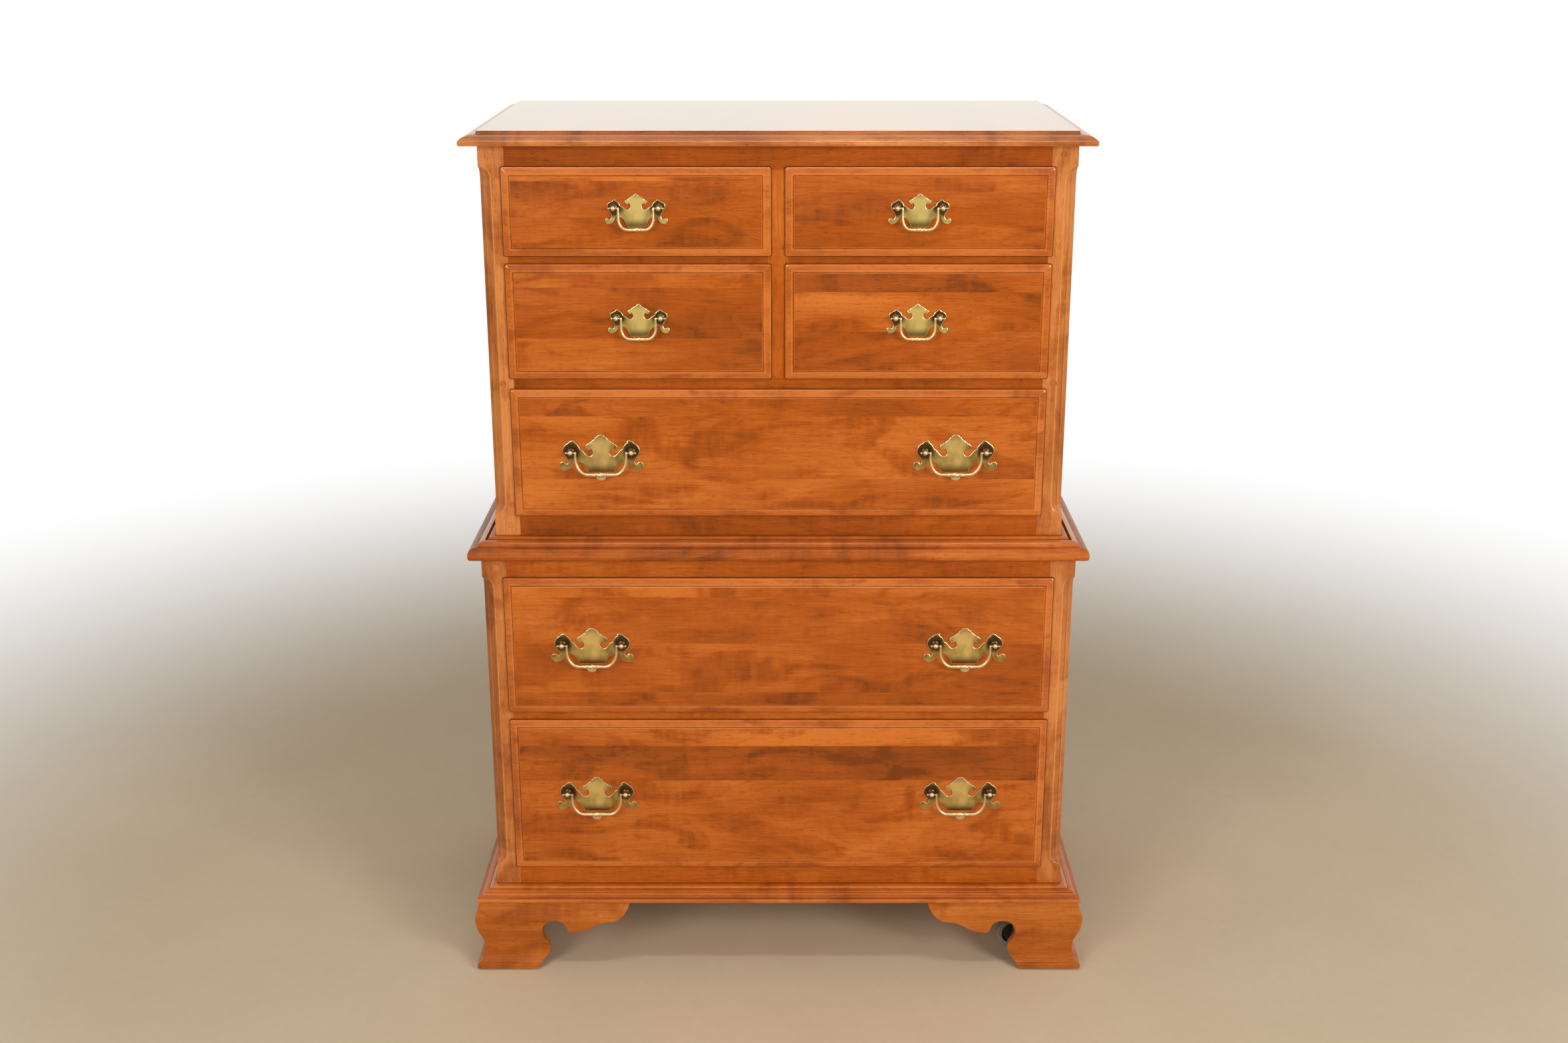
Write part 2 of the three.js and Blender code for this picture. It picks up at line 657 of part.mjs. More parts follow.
// Bail: a wire loop with turned beads in its middle, a pin through each post ball and a knob
// on each pin's outer end. Its axis is the origin, so that it is placed at the post axis.
function pull_bail(kind) {
  const half_span = kind.bail_span / 2;
  const vector = (x, z) => new THREE.Vector3(x, 0, z);
  const route = new THREE.CurvePath();
  const turn_start = -kind.straight_drop;
  const bar_end = kind.bar_half_length;
  const corner_share = 0.55;
  const corner_x = half_span - (half_span - bar_end) * (1 - corner_share);
  const corner_z = -kind.bail_drop + (kind.bail_drop - kind.straight_drop) * (1 - corner_share);
  route.add(new THREE.LineCurve3(vector(-half_span, kind.wire_radius), vector(-half_span, turn_start)));
  route.add(new THREE.CubicBezierCurve3(
    vector(-half_span, turn_start), vector(-half_span, corner_z),
    vector(-corner_x, -kind.bail_drop), vector(-bar_end, -kind.bail_drop)));
  route.add(new THREE.LineCurve3(vector(-bar_end, -kind.bail_drop), vector(bar_end, -kind.bail_drop)));
  route.add(new THREE.CubicBezierCurve3(
    vector(bar_end, -kind.bail_drop), vector(corner_x, -kind.bail_drop),
    vector(half_span, corner_z), vector(half_span, turn_start)));
  route.add(new THREE.LineCurve3(vector(half_span, turn_start), vector(half_span, kind.wire_radius)));
  const ring = [];
  for (let i = 0; i < turned_facets; i += 1) {
    const angle = ((i + 0.5) / turned_facets) * 2 * Math.PI;
    ring.push(new THREE.Vector2(kind.wire_radius * Math.cos(angle), kind.wire_radius * Math.sin(angle)));
  }
  const loop = solid(new THREE.ExtrudeGeometry(
    new THREE.Shape(ring), { steps: bail_steps, extrudePath: route, bevelEnabled: false }));
  const bead_step = kind.collar_offset / 4;
  const neck = kind.wire_radius * 0.9;
  const beads = turned_x([
    [0, -kind.collar_offset - bead_step], [kind.collar_radius, -kind.collar_offset - bead_step / 2],
    [kind.collar_radius, -kind.collar_offset + bead_step / 2], [neck, -kind.collar_offset + bead_step],
    [kind.bead_radius, -bead_step / 2], [kind.bead_radius, bead_step / 2], [neck, kind.collar_offset - bead_step],
    [kind.collar_radius, kind.collar_offset - bead_step / 2],
    [kind.collar_radius, kind.collar_offset + bead_step / 2], [0, kind.collar_offset + bead_step],
  ], turned_facets).translate([0, 0, -kind.bail_drop]);
  const knob_x = kind.boring / 2 + post_ball_radius + pin_end_gap + pin_knob_radius;
  const pins = [-1, 1].map((side) => {
    const ends = [side * half_span, side * knob_x].sort((a, b) => a - b);
    return turned_x(rod_profile(pin_radius, ends[0], ends[1]), nut_facets);
  });
  const knobs = [-1, 1].map((side) => {
    const centre = side * knob_x;
    return turned_x([
      [0, centre - pin_knob_radius], [pin_knob_radius, centre - pin_knob_radius / 2],
      [pin_knob_radius, centre + pin_knob_radius / 2], [0, centre + pin_knob_radius],
    ], nut_facets);
  });
  const pieces = [loop, beads, ...pins, ...knobs];
  if (kind.pendant_width > 0) pieces.push(bail_pendant(kind));
  return geometry_of(joined(pieces));
}

// Half-round pendant under the middle bead of the large bail, hung by a short neck
const pendant_shares = [
  [0, 0], [0.2, 0], [0.2, 0.5], [1, 0.45], [0.93, 0.66], [0.66, 0.87], [0.34, 0.98], [0, 1],
];

function bail_pendant(kind) {
  const half = pendant_shares.map(
    ([across, down]) => [across * kind.pendant_width / 2, -kind.bail_drop - down * kind.pendant_drop]);
  const outline = mirrored_outline(half);
  return prism_y([...outline].reverse(), -pendant_thickness / 2, pendant_thickness / 2);
}

const pull_shapes = new Map([
  [large_pull, { plate: pull_plate(large_pull, large_plate_shares), bail: pull_bail(large_pull) }],
  [small_pull, { plate: pull_plate(small_pull, small_plate_shares), bail: pull_bail(small_pull) }],
]);

// One drawer in a group at the middle of its lips, on the face of its case
function drawer(label, row, lip_x, body_x, front_y, depth, pull_places) {
  const x_middle = (lip_x[0] + lip_x[1]) / 2;
  const z_middle = (row.lip_low + row.lip_high) / 2;
  const opening_z = [row.opening_low - z_middle, row.opening_high - z_middle];
  const size = {
    lip_x: lip_x.map((x) => x - x_middle),
    body_x: body_x.map((x) => x - x_middle),
    lip_z: [row.lip_low - z_middle, row.lip_high - z_middle],
    body_z: [opening_z[0] + drawer_clearance, opening_z[1] - drawer_clearance],
    opening_z,
  };
  const pulls = pull_places.map((place) => ({ ...place, x: place.x - x_middle, z: row.pull_rise }));
  const group = new THREE.Group();
  group.position.set(x_middle, front_y, z_middle);
  add_piece(group, `${label}_drawer_front`, drawer_front(size, pulls), 'maple');
  add_piece(group, `${label}_drawer_box`, drawer_box(size, depth), 'inner_wood');
  for (const pull of pulls) {
    const shapes = pull_shapes.get(pull.kind);
    const plate = add_piece(group, `${pull.label}_pull_plate`, shapes.plate, 'brass');
    plate.position.set(pull.x, 0, pull.z);
    const bail = add_piece(group, `${pull.label}_pull_bail`, shapes.bail, 'brass');
    bail.position.set(pull.x, -field_reach - axis_projection, pull.z);
  }
  chest.add(group);
}

function case_drawers(drawers, half_width, front_y, case_depth) {
  const lip_edge = half_width - post_width + lip_lap_on_post;
  const body_edge = half_width - post_width - drawer_clearance;
  const depth = case_depth - front_inset_thickness - joint_gap - back_thickness - box_rear_clearance;
  for (const row of drawers.rows) {
    if (row.split) {
      const lip_x = [stile_half - lip_lap_on_stile, lip_edge];
      const body_x = [stile_half + drawer_clearance, body_edge];
      const pull_x = (lip_x[0] + lip_x[1]) / 2;
      const right = [{ label: `${row.name}_right`, kind: small_pull, x: pull_x }];
      drawer(`${row.name}_right`, row, lip_x, body_x, front_y, depth, right);
      const left = [{ label: `${row.name}_left`, kind: small_pull, x: -pull_x }];
      const left_lip = [-lip_x[1], -lip_x[0]];
      const left_body = [-body_x[1], -body_x[0]];
      drawer(`${row.name}_left`, row, left_lip, left_body, front_y, depth, left);
      continue;
    }
    const pull_x = lip_edge - large_pull_from_drawer_end;
    const places = [
      { label: `${row.name}_left`, kind: large_pull, x: -pull_x },
      { label: `${row.name}_right`, kind: large_pull, x: pull_x },
    ];
    drawer(row.name, row, [-lip_edge, lip_edge], [-body_edge, body_edge], front_y, depth, places);
  }
}

// Ogee of the feet, from the floor up, as shares of the projection and of the height
const foot_ogee_shares = [
  [1, 0], [1, 0.09], [0.945, 0.1], [0.69, 0.164], [0.56, 0.262], [0.525, 0.35], [0.56, 0.42], [0.648, 0.457],
  [0.736, 0.51], [0.824, 0.563], [0.903, 0.617], [0.985, 0.688], [1, 0.759], [0.976, 0.82], [0.94, 0.865],
  [0.8, 0.93], [0.785, 1],
];

// Lower edge of a bracket: shares of its run and of the foot's height. The scroll rises from the
// toe round the hole to a cusp, and the tail rises from the cusp to the bracket's end.
const scroll_edge_shares = [
  [0.642, 0], [0.682, 0.079], [0.722, 0.181], [0.75, 0.276], [0.758, 0.35], [0.747, 0.407], [0.717, 0.465],
  [0.695, 0.539], [0.695, 0.595], [0.722, 0.661], [0.768, 0.717], [0.843, 0.745], [0.904, 0.727],
  [0.954, 0.688], [0.982, 0.633], [1, 0.566],
];
const tail_edge_shares = [
  [0.04, 0.55], [0.207, 0.573], [0.439, 0.68], [0.628, 0.723], [0.773, 0.745], [1, 0.987],
];

function bracket_edge(length) {
  const tail_run = length - scroll_run;
  const scroll = scroll_edge_shares.map(([along, up]) => [along * scroll_run, up * foot_height]);
  const tail = tail_edge_shares.map(([along, up]) => [scroll_run + along * tail_run, up * foot_height]);
  const [first] = scroll;
  const beyond = length + cut_overrun;
  return [[first[0], -cut_overrun], ...scroll, ...tail, [beyond, foot_height], [beyond, -cut_overrun]];
}

// A foot stands in its own frame: its outer faces reach foot_projection in front of and beside
// the corner of the lower case, the corner is the origin, the foot extends to -X and +Y.
function ogee_side_outline(inner) {
  const outer = foot_ogee_shares.map(([out, up]) => [out * foot_projection, up * (foot_height - joint_gap)]);
  return [[inner, 0], ...outer, [inner, foot_height - joint_gap]];
}

const swing_radius = Math.hypot(
  caster_trail + wheel_radius, wheel_width / 2 + cheek_side_gap + cheek_thickness) + swing_clearance;
const crown_z = 2 * wheel_radius + crown_wheel_gap;
const block_z = crown_z + crown_thickness + joint_gap;

function foot_block(x_high, y_face, y_direction, stem_x, stem_y) {
  const y_ends = [y_face - y_direction * weld_lap, y_face + y_direction * foot_block_width].sort((a, b) => a - b);
  const low = block_z - foot_lift;
  const high = foot_height - joint_gap;
  const body = block(x_high - foot_block_width, x_high + weld_lap, y_ends[0], y_ends[1], low, high);
  const socket_top = low + stem_length + joint_gap;
  const socket = turned_z(rod_profile(stem_radius + stem_clearance, low - cut_overrun, socket_top), axle_facets);
  return body.subtract(socket.translate([stem_x, stem_y, 0]));
}

function side_bracket(y_low, y_high, inner) {
  return prism_y(ogee_side_outline(inner), y_low, y_high);
}

function front_foot() {
  const inner = foot_projection - bracket_thickness;
  const length = front_bracket_length;
  const front_outline = ogee_side_outline(inner).map(([out, up]) => [-out, up]);
  const x_low = foot_projection - length;
  const front_outer = prism_x(front_outline.reverse(), x_low, foot_projection + cut_overrun);
  const side_outer = side_bracket(-foot_projection - cut_overrun, side_bracket_length - foot_projection, inner);
  const reach = length + side_bracket_length;
  const front_limit = prism_y(ogee_side_outline(-reach), -foot_projection - cut_overrun, reach);
  const side_limit = prism_x(
    ogee_side_outline(-reach).map(([out, up]) => [-out, up]).reverse(), -reach, reach);
  const brackets = front_outer.intersect(front_limit).add(side_outer.intersect(side_limit));
  const front_cut = bracket_edge(length).map(([along, up]) => [foot_projection - along, up]);
  const side_cut = bracket_edge(side_bracket_length).map(([along, up]) => [along - foot_projection, up]);
  const cut_front = prism_y(front_cut, -foot_projection - cut_overrun, -inner + weld_lap);
  const cut_side = prism_x([...side_cut].reverse(), inner - weld_lap, foot_projection + cut_overrun);
  const stem_x = inner - swing_radius;
  const stem_y = -inner + swing_radius;
  const caster_block = foot_block(inner, -inner, 1, stem_x, stem_y);
  return geometry_of(brackets.subtract(cut_front).subtract(cut_side).add(caster_block));
}

// Rear foot: one ogee bracket on the side and a plain bracket across the back
function rear_foot() {
  const inner = foot_projection - bracket_thickness;
  const outer = side_bracket(-side_bracket_length, 0, inner);
  const side_cut = bracket_edge(side_bracket_length).map(([along, up]) => [-along, up]);
  const cut_side = prism_x(side_cut, inner - weld_lap, foot_projection + cut_overrun);
  const top = foot_height - joint_gap;
  const rear = prism_y([
    [inner + weld_lap, 0], [inner + weld_lap, top], [inner - rear_bracket_length, top],
    [inner - rear_bracket_length, rear_bracket_drop], [inner - rear_bracket_length / 2, rear_bracket_drop],
    [inner - rear_bracket_length / 4, 0],
  ].reverse(), -rear_bracket_thickness, 0);
  const stem_x = inner - swing_radius;
  const stem_y = -rear_bracket_thickness - swing_radius;
  const caster_block = foot_block(inner, -rear_bracket_thickness, -1, stem_x, stem_y);
  return geometry_of(joined([outer.subtract(cut_side), rear, caster_block]));
}

// Caster parts, with the stem on the Z axis and the wheel trailing to -X, floor at Z 0
const wheel_centre_z = wheel_radius * Math.cos(Math.PI / wheel_facets);

function caster_fork() {
  const cheek_inner = wheel_width / 2 + cheek_side_gap;
  const cheek_outer = cheek_inner + cheek_thickness;
  const crown_half = Math.max(crown_radius, cheek_outer);
  const crown = turned_z(rod_profile(crown_half, crown_z, crown_z + crown_thickness), crown_facets);
  const stem_low = crown_z + crown_thickness - weld_lap;
  const stem = turned_z(rod_profile(stem_radius, stem_low, block_z + stem_length), axle_facets);
  const boss_low = wheel_centre_z - cheek_boss_radius;
  const outline = [
    [crown_radius / 2, crown_z + crown_thickness], [-crown_radius, crown_z + crown_thickness],
    [-caster_trail - cheek_boss_radius, wheel_centre_z], [-caster_trail - cheek_boss_radius / 2, boss_low],
    [-caster_trail + cheek_boss_radius / 2, boss_low], [-caster_trail + cheek_boss_radius, wheel_centre_z],
  ];
  const cheeks = [-1, 1].map((side) => {
    const ends = [side * cheek_inner, side * cheek_outer].sort((a, b) => a - b);
    return prism_y(outline, ends[0], ends[1]);
  });
  const axle = turned_y(rod_profile(axle_radius, -cheek_outer, cheek_outer), axle_facets);
  return geometry_of(joined([crown, stem, ...cheeks, axle.translate([-caster_trail, 0, wheel_centre_z])]));
}

function caster_wheel() {
  const half = wheel_width / 2;
  const rim = wheel_radius - tyre_depth;
  const web = half - wheel_web_recess;
  const bore = axle_radius / Math.cos(Math.PI / axle_facets) + axle_clearance;
  const side = [
    [bore, half - wheel_bevel], [hub_radius, half - wheel_bevel], [hub_radius, web], [rim, web], [rim, half],
    [wheel_radius, half - wheel_bevel],
  ];
  const other = side.map(([radius, along]) => [radius, -along]).reverse();
  const profile = [...side, ...other, side[0]].map(([radius, along]) => new THREE.Vector2(radius, along));
  const wheel = new THREE.LatheGeometry(profile.reverse(), wheel_facets, Math.PI / wheel_facets);
  return geometry_of(solid(wheel));
}

const corners = [
  { label: 'front_left', side: -1, front: true }, { label: 'front_right', side: 1, front: true },
  { label: 'rear_left', side: -1, front: false }, { label: 'rear_right', side: 1, front: false },
];

function feet_and_casters() {
  const inner = foot_projection - bracket_thickness;
  const shapes = { front: front_foot(), rear: rear_foot(), fork: caster_fork(), wheel: caster_wheel() };
  for (const { label, side, front } of corners) {
    const shape = front ? shapes.front : shapes.rear;
    const foot = add_piece(chest, `${label}_foot`, side > 0 ? shape : mirrored(shape), 'maple');
    const corner_y = front ? lower_front_y : back_y;
    foot.position.set(side * lower_half, corner_y, foot_lift);
    const stem_x = side * (lower_half + inner - swing_radius);
    const stem_y = front ? corner_y - inner + swing_radius : corner_y - rear_bracket_thickness - swing_radius;
    const fork = add_piece(chest, `${label}_caster_fork`, shapes.fork, 'steel');
    fork.position.set(stem_x, stem_y, 0);
    const wheel = add_piece(chest, `${label}_caster_wheel`, shapes.wheel, 'tyre');
    wheel.position.set(stem_x - caster_trail, stem_y, wheel_centre_z);
  }
}

top_board();
case_posts('upper', upper_half, upper_front_y, upper_case_z, upper_case_height);
case_sides('upper', upper_half, upper_front_y, upper_case_z, upper_case_height);
back_panel();
drawer_frame('upper', upper_drawers, upper_half, upper_front_y);
waist_moulding();
case_posts('lower', lower_half, lower_front_y, lower_case_z, lower_case_height);
case_sides('lower', lower_half, lower_front_y, lower_case_z, lower_case_height);
drawer_frame('lower', lower_drawers, lower_half, lower_front_y);
base_moulding();
feet_and_casters();
case_drawers(upper_drawers, upper_half, upper_front_y, upper_case_depth);
case_drawers(lower_drawers, lower_half, lower_front_y, lower_case_depth);

export default chest;
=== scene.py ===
"""Looks of a maple chest-on-chest: lipped drawers, ogee bracket feet, mouldings and brass bail pulls.

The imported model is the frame. Pieces with a better shape stand in for some of its nodes, the other
nodes keep their meshes, and every visible surface gets a procedural finish.
"""

import json
import logging
import math
from dataclasses import dataclass, field, replace
from enum import Enum

import bmesh
import bpy
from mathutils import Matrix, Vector

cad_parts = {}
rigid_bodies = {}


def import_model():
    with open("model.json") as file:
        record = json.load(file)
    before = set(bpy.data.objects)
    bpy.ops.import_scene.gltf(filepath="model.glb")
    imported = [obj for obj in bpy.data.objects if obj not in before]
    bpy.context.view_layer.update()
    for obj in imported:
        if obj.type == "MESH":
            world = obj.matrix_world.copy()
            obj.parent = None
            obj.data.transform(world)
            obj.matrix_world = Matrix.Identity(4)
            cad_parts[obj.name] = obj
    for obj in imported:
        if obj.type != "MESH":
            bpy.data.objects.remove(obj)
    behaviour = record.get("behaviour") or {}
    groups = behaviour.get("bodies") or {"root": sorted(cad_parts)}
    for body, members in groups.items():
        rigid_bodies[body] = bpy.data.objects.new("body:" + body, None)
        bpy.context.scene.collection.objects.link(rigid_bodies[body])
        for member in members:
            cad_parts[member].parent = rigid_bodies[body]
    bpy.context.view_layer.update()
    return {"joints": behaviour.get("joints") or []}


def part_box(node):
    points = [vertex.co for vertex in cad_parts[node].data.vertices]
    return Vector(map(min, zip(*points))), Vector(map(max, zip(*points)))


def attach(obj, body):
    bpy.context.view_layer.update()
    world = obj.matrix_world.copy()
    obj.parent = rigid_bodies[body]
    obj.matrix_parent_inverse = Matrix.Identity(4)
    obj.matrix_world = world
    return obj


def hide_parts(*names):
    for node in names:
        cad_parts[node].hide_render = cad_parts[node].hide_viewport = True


LOG = logging.getLogger("chest")

MM = 0.001
FULL_TURN = 2 * math.pi
QUARTER_TURN = math.pi / 2
SHARP_ANGLE = math.radians(24)
SAME_POINT = 1e-6
WELD = 1e-7
DRAWERS = ("fifth", "fourth", "third", "second_left", "second_right", "top_left", "top_right")
LOWER_DRAWERS = DRAWERS[:2]

Pair = tuple[float, float]
Triple = tuple[float, float, float]
Outline = list[Pair]
Ring = list[Vector]
Mesh = bpy.types.Mesh
Piece = bpy.types.Object
Finish = bpy.types.Material
Socket = bpy.types.NodeSocket


class Grain(Enum):
    """The way the grain runs along a board."""

    ACROSS = (0, 1, 2)
    DEEP = (1, 0, 2)
    UPRIGHT = (2, 1, 0)
    UPRIGHT_SIDE = (2, 0, 1)


class Tone(Enum):
    """Painted light and shade on a worked face, and stain gathered in its creases: its place in a list of
    finishes and its shade.
    """

    # Besides the plain tone, the tones paint light and shade: a paler band of painted light, stain gathered
    # in a crease with painted shade over it, a painted highlight on an edge, and painted shade.
    PLAIN = (0, 0.0)
    BAND = (1, -0.1)
    CREASE = (2, 0.7)
    ARRIS = (3, -0.3)
    SHADED = (4, 0.16)

    @property
    def place(self) -> int:
        """The finish's place in a piece's list."""
        return self.value[0]


Moulded = list[tuple[Tone, Outline]]


# Meshes


def curved(points: Outline, steps: int = 4) -> Outline:
    """Round a run of points with a smooth curve that goes through each of them.

    Args:
        points: The points in order.
        steps: Segments between two neighbouring points.

    Returns:
        The finer run, with the same first and last point.
    """
    if len(points) < 3 or steps < 2:
        return list(points)
    first, last = points[0], points[-1]
    ends = [(2 * first[0] - points[1][0], 2 * first[1] - points[1][1])]
    tail = [(2 * last[0] - points[-2][0], 2 * last[1] - points[-2][1])]
    run = ends + list(points) + tail
    fine: Outline = []
    for i in range(1, len(run) - 2):
        a, b, c, d = run[i - 1:i + 3]
        for k in range(steps):
            t = k / steps
            fine.append(tuple(
                0.5 * (2 * b[j] + (c[j] - a[j]) * t + (2 * a[j] - 5 * b[j] + 4 * c[j] - d[j]) * t * t
                       + (3 * b[j] - a[j] - 3 * c[j] + d[j]) * t ** 3)
                for j in (0, 1)))
    fine.append(last)
    return fine


def joined_runs(runs: list[Outline], steps: int = 4) -> Outline:
    """Join rounded runs into one outline that keeps a corner where two runs meet.

    Args:
        runs: Runs of points, each rounded by itself.
        steps: Segments between two neighbouring points.

    Returns:
        The outline, with no point twice in a row.
    """
    outline: Outline = []
    for run in runs:
        for point in curved(run, steps):
            if not outline or math.dist(outline[-1], point) > SAME_POINT:
                outline.append(point)
    return outline


def run_tones(runs: Moulded, steps: int = 4) -> list[Tone]:
    """The tone of each segment of the outline that joined_runs makes of the same runs.

    Args:
        runs: Runs of points with their tones.
        steps: Segments between two neighbouring points.

    Returns:
        One tone for each segment.
    """
    tones = []
    for tone, run in runs:
        tones += [tone] * (len(curved(run, steps)) - 1)
    return tones


def mirrored_half(half: Outline) -> Outline:
    """Close a half outline, which starts on the middle line, with its mirror image.

    Args:
        half: Points [across, up] on the right of the middle line.

    Returns:
        The whole outline, with no point twice on the middle line.
    """
    return half + [(-across, up) for across, up in reversed(half) if across > SAME_POINT]


def shown(name: str, data: bpy.types.ID) -> Piece:
    """Put a mesh, curve, lamp or camera into the scene under a name.

    Args:
        name: The object's name.
        data: What it shows.

    Returns:
        The new object.
    """
    piece = bpy.data.objects.new(name, data)
    bpy.context.scene.collection.objects.link(piece)
    return piece


def finish_mesh(work: bmesh.types.BMesh, name: str, sharp: float = SHARP_ANGLE) -> Mesh:
    """Turn a working mesh into a smooth one whose corners and seams stay sharp.

    Args:
        work: The working mesh, which is freed.
        name: The name of the new mesh.
        sharp: The angle between two faces from which their edge is a corner.

    Returns:
        The new mesh.
    """
    bmesh.ops.remove_doubles(work, verts=work.verts, dist=WELD)
    bmesh.ops.recalc_face_normals(work, faces=work.faces)
    for face in work.faces:
        face.smooth = True
    for edge in work.edges:
        edge.smooth = edge.is_manifold and not edge.seam and edge.calc_face_angle(math.pi) < sharp
    mesh = bpy.data.meshes.new(name)
    work.to_mesh(mesh)
    work.free()
    return mesh


def add_rings(work: bmesh.types.BMesh, rings: list[Ring], closed: bool = False,
              tones: list[Tone] | None = None, mitred: bool = False) -> None:
    """Skin a row of rings that all have the same number of points.

    Args:
        work: The working mesh that takes the faces.
        rings: The rings in order.
        closed: Whether the last ring joins the first. If not, both ends are capped.
        tones: The tones of the first steps from ring to ring. The other steps are plain.
        mitred: Whether the lines from ring to ring are mitres, which stay sharp.
    """
    rows = [[work.verts.new(point) for point in ring] for ring in rings]
    count = len(rows[0])
    pairs = list(zip(rows, rows[1:]))
    if closed:
        pairs.append((rows[-1], rows[0]))
    places = [tone.place for tone in tones or []]
    places += [Tone.PLAIN.place] * (len(pairs) - len(places))
    for (low, high), place in zip(pairs, places):
        for i in range(count):
            j = (i + 1) % count
            work.faces.new((low[i], low[j], high[j], high[i])).material_index = place
            work.edges.get((low[i], high[i])).seam = mitred
    if not closed:
        work.faces.new(list(reversed(rows[0])))
        work.faces.new(rows[-1])


def rings_mesh(name: str, shells: list[tuple[list[Ring], bool]], sharp: float = SHARP_ANGLE,
               tones: list[Tone] | None = None, mitred: bool = False) -> Mesh:
    """Build a mesh from one or more skinned rows of rings.

    Args:
        name: The mesh's name.
        shells: For each row its rings and whether it is closed.
        sharp: The angle between two faces from which their edge is a corner.
        tones: The tones of each row's first steps.
        mitred: Whether the lines from ring to ring are mitres.

    Returns:
        The new mesh.
    """
    work = bmesh.new()
    for rings, closed in shells:
        add_rings(work, rings, closed, tones, mitred)
    return finish_mesh(work, name, sharp)


def turned_rings(profile: Outline, sides: int, axis: Grain, centre: Vector) -> list[Ring]:
    """Rings of a turned form.

    Args:
        profile: Points [radius, distance along the axis].
        sides: Facets round the axis.
        axis: The axis it is turned about.
        centre: Where the axis' zero lies.

    Returns:
        One ring for each profile point.
    """
    rings = []
    for radius, along in profile:
        ring = []
        for k in range(sides):
            angle = FULL_TURN * k / sides
            u, v = (max(radius, SAME_POINT) * turn for turn in (math.cos(angle), math.sin(angle)))
            places = {Grain.ACROSS: (along, u, v), Grain.DEEP: (v, along, u), Grain.UPRIGHT: (u, v, along)}
            ring.append(centre + Vector(places[axis]))
        rings.append(ring)
    return rings


def scaled(points: Outline) -> Outline:
    """Change an outline from millimetres to metres."""
    return [(a * MM, b * MM) for a, b in points]


def prism_mesh(name: str, outline: Outline, low: float, high: float, along: Grain) -> Mesh:
    """A prism of an outline swept along one axis.

    Args:
        name: The mesh's name.
        outline: Points [y, z] for a sweep along X, or [x, z] along Y.
        low: Where the sweep starts.
        high: Where the sweep ends.
        along: The sweep's axis.

    Returns:
        The closed mesh.
    """
    def place(point: Pair, at: float) -> Vector:
        """Place one outline point at one end."""
        first, up = point
        return Vector((at, first, up) if along is Grain.ACROSS else (first, at, up))

    rings = [[place(point, at) for point in outline] for at in (low, high)]
    return rings_mesh(name, [(rings, False)])


def block_rings(low: Vector, high: Vector) -> list[Ring]:
    """Two rings that make a box."""
    corners = [(low.x, low.y), (high.x, low.y), (high.x, high.y), (low.x, high.y)]
    return [[Vector((x, y, z)) for x, y in corners] for z in (low.z, high.z)]


def carve(piece: Piece, cutters: list[Mesh]) -> None:
    """Cut meshes out of a piece and keep the result as its own mesh.

    Args:
        piece: The piece to cut.
        cutters: Closed meshes, which are removed afterwards.
    """
    tools = []
    for i, mesh in enumerate(cutters):
        tool = shown(f"{piece.name}_cutter_{i}", mesh)
        step = piece.modifiers.new(f"cut_{i}", "BOOLEAN")
        step.operation = "DIFFERENCE"
        step.solver = "EXACT"
        step.object = tool
        tools.append(tool)
    bpy.context.view_layer.update()
    shaped = piece.evaluated_get(bpy.context.evaluated_depsgraph_get())
    mesh = bpy.data.meshes.new_from_object(shaped)
    piece.modifiers.clear()
    for tool in tools:
        bpy.data.objects.remove(tool)
    work = bmesh.new()
    work.from_mesh(mesh)
    piece.data = finish_mesh(work, f"{piece.name}_mesh")


def mirrored_mesh(mesh: Mesh, name: str) -> Mesh:
    """Mirror a mesh left to right.

    Args:
        mesh: The mesh, which stays as it is.
        name: The mirror image's name.

    Returns:
        The new mesh.
    """
    work = bmesh.new()
    work.from_mesh(mesh)
    for vertex in work.verts:
        vertex.co.x = -vertex.co.x
    bmesh.ops.reverse_faces(work, faces=work.faces)
    return finish_mesh(work, name)


# Finishes


@dataclass(frozen=True)
class Figure:
    """One layer of noise: how fast it changes along three directions, and how it breaks up."""

    stretch: Triple
    detail: float = 2.0
    rough: float = 0.5
    warp: float = 0.0


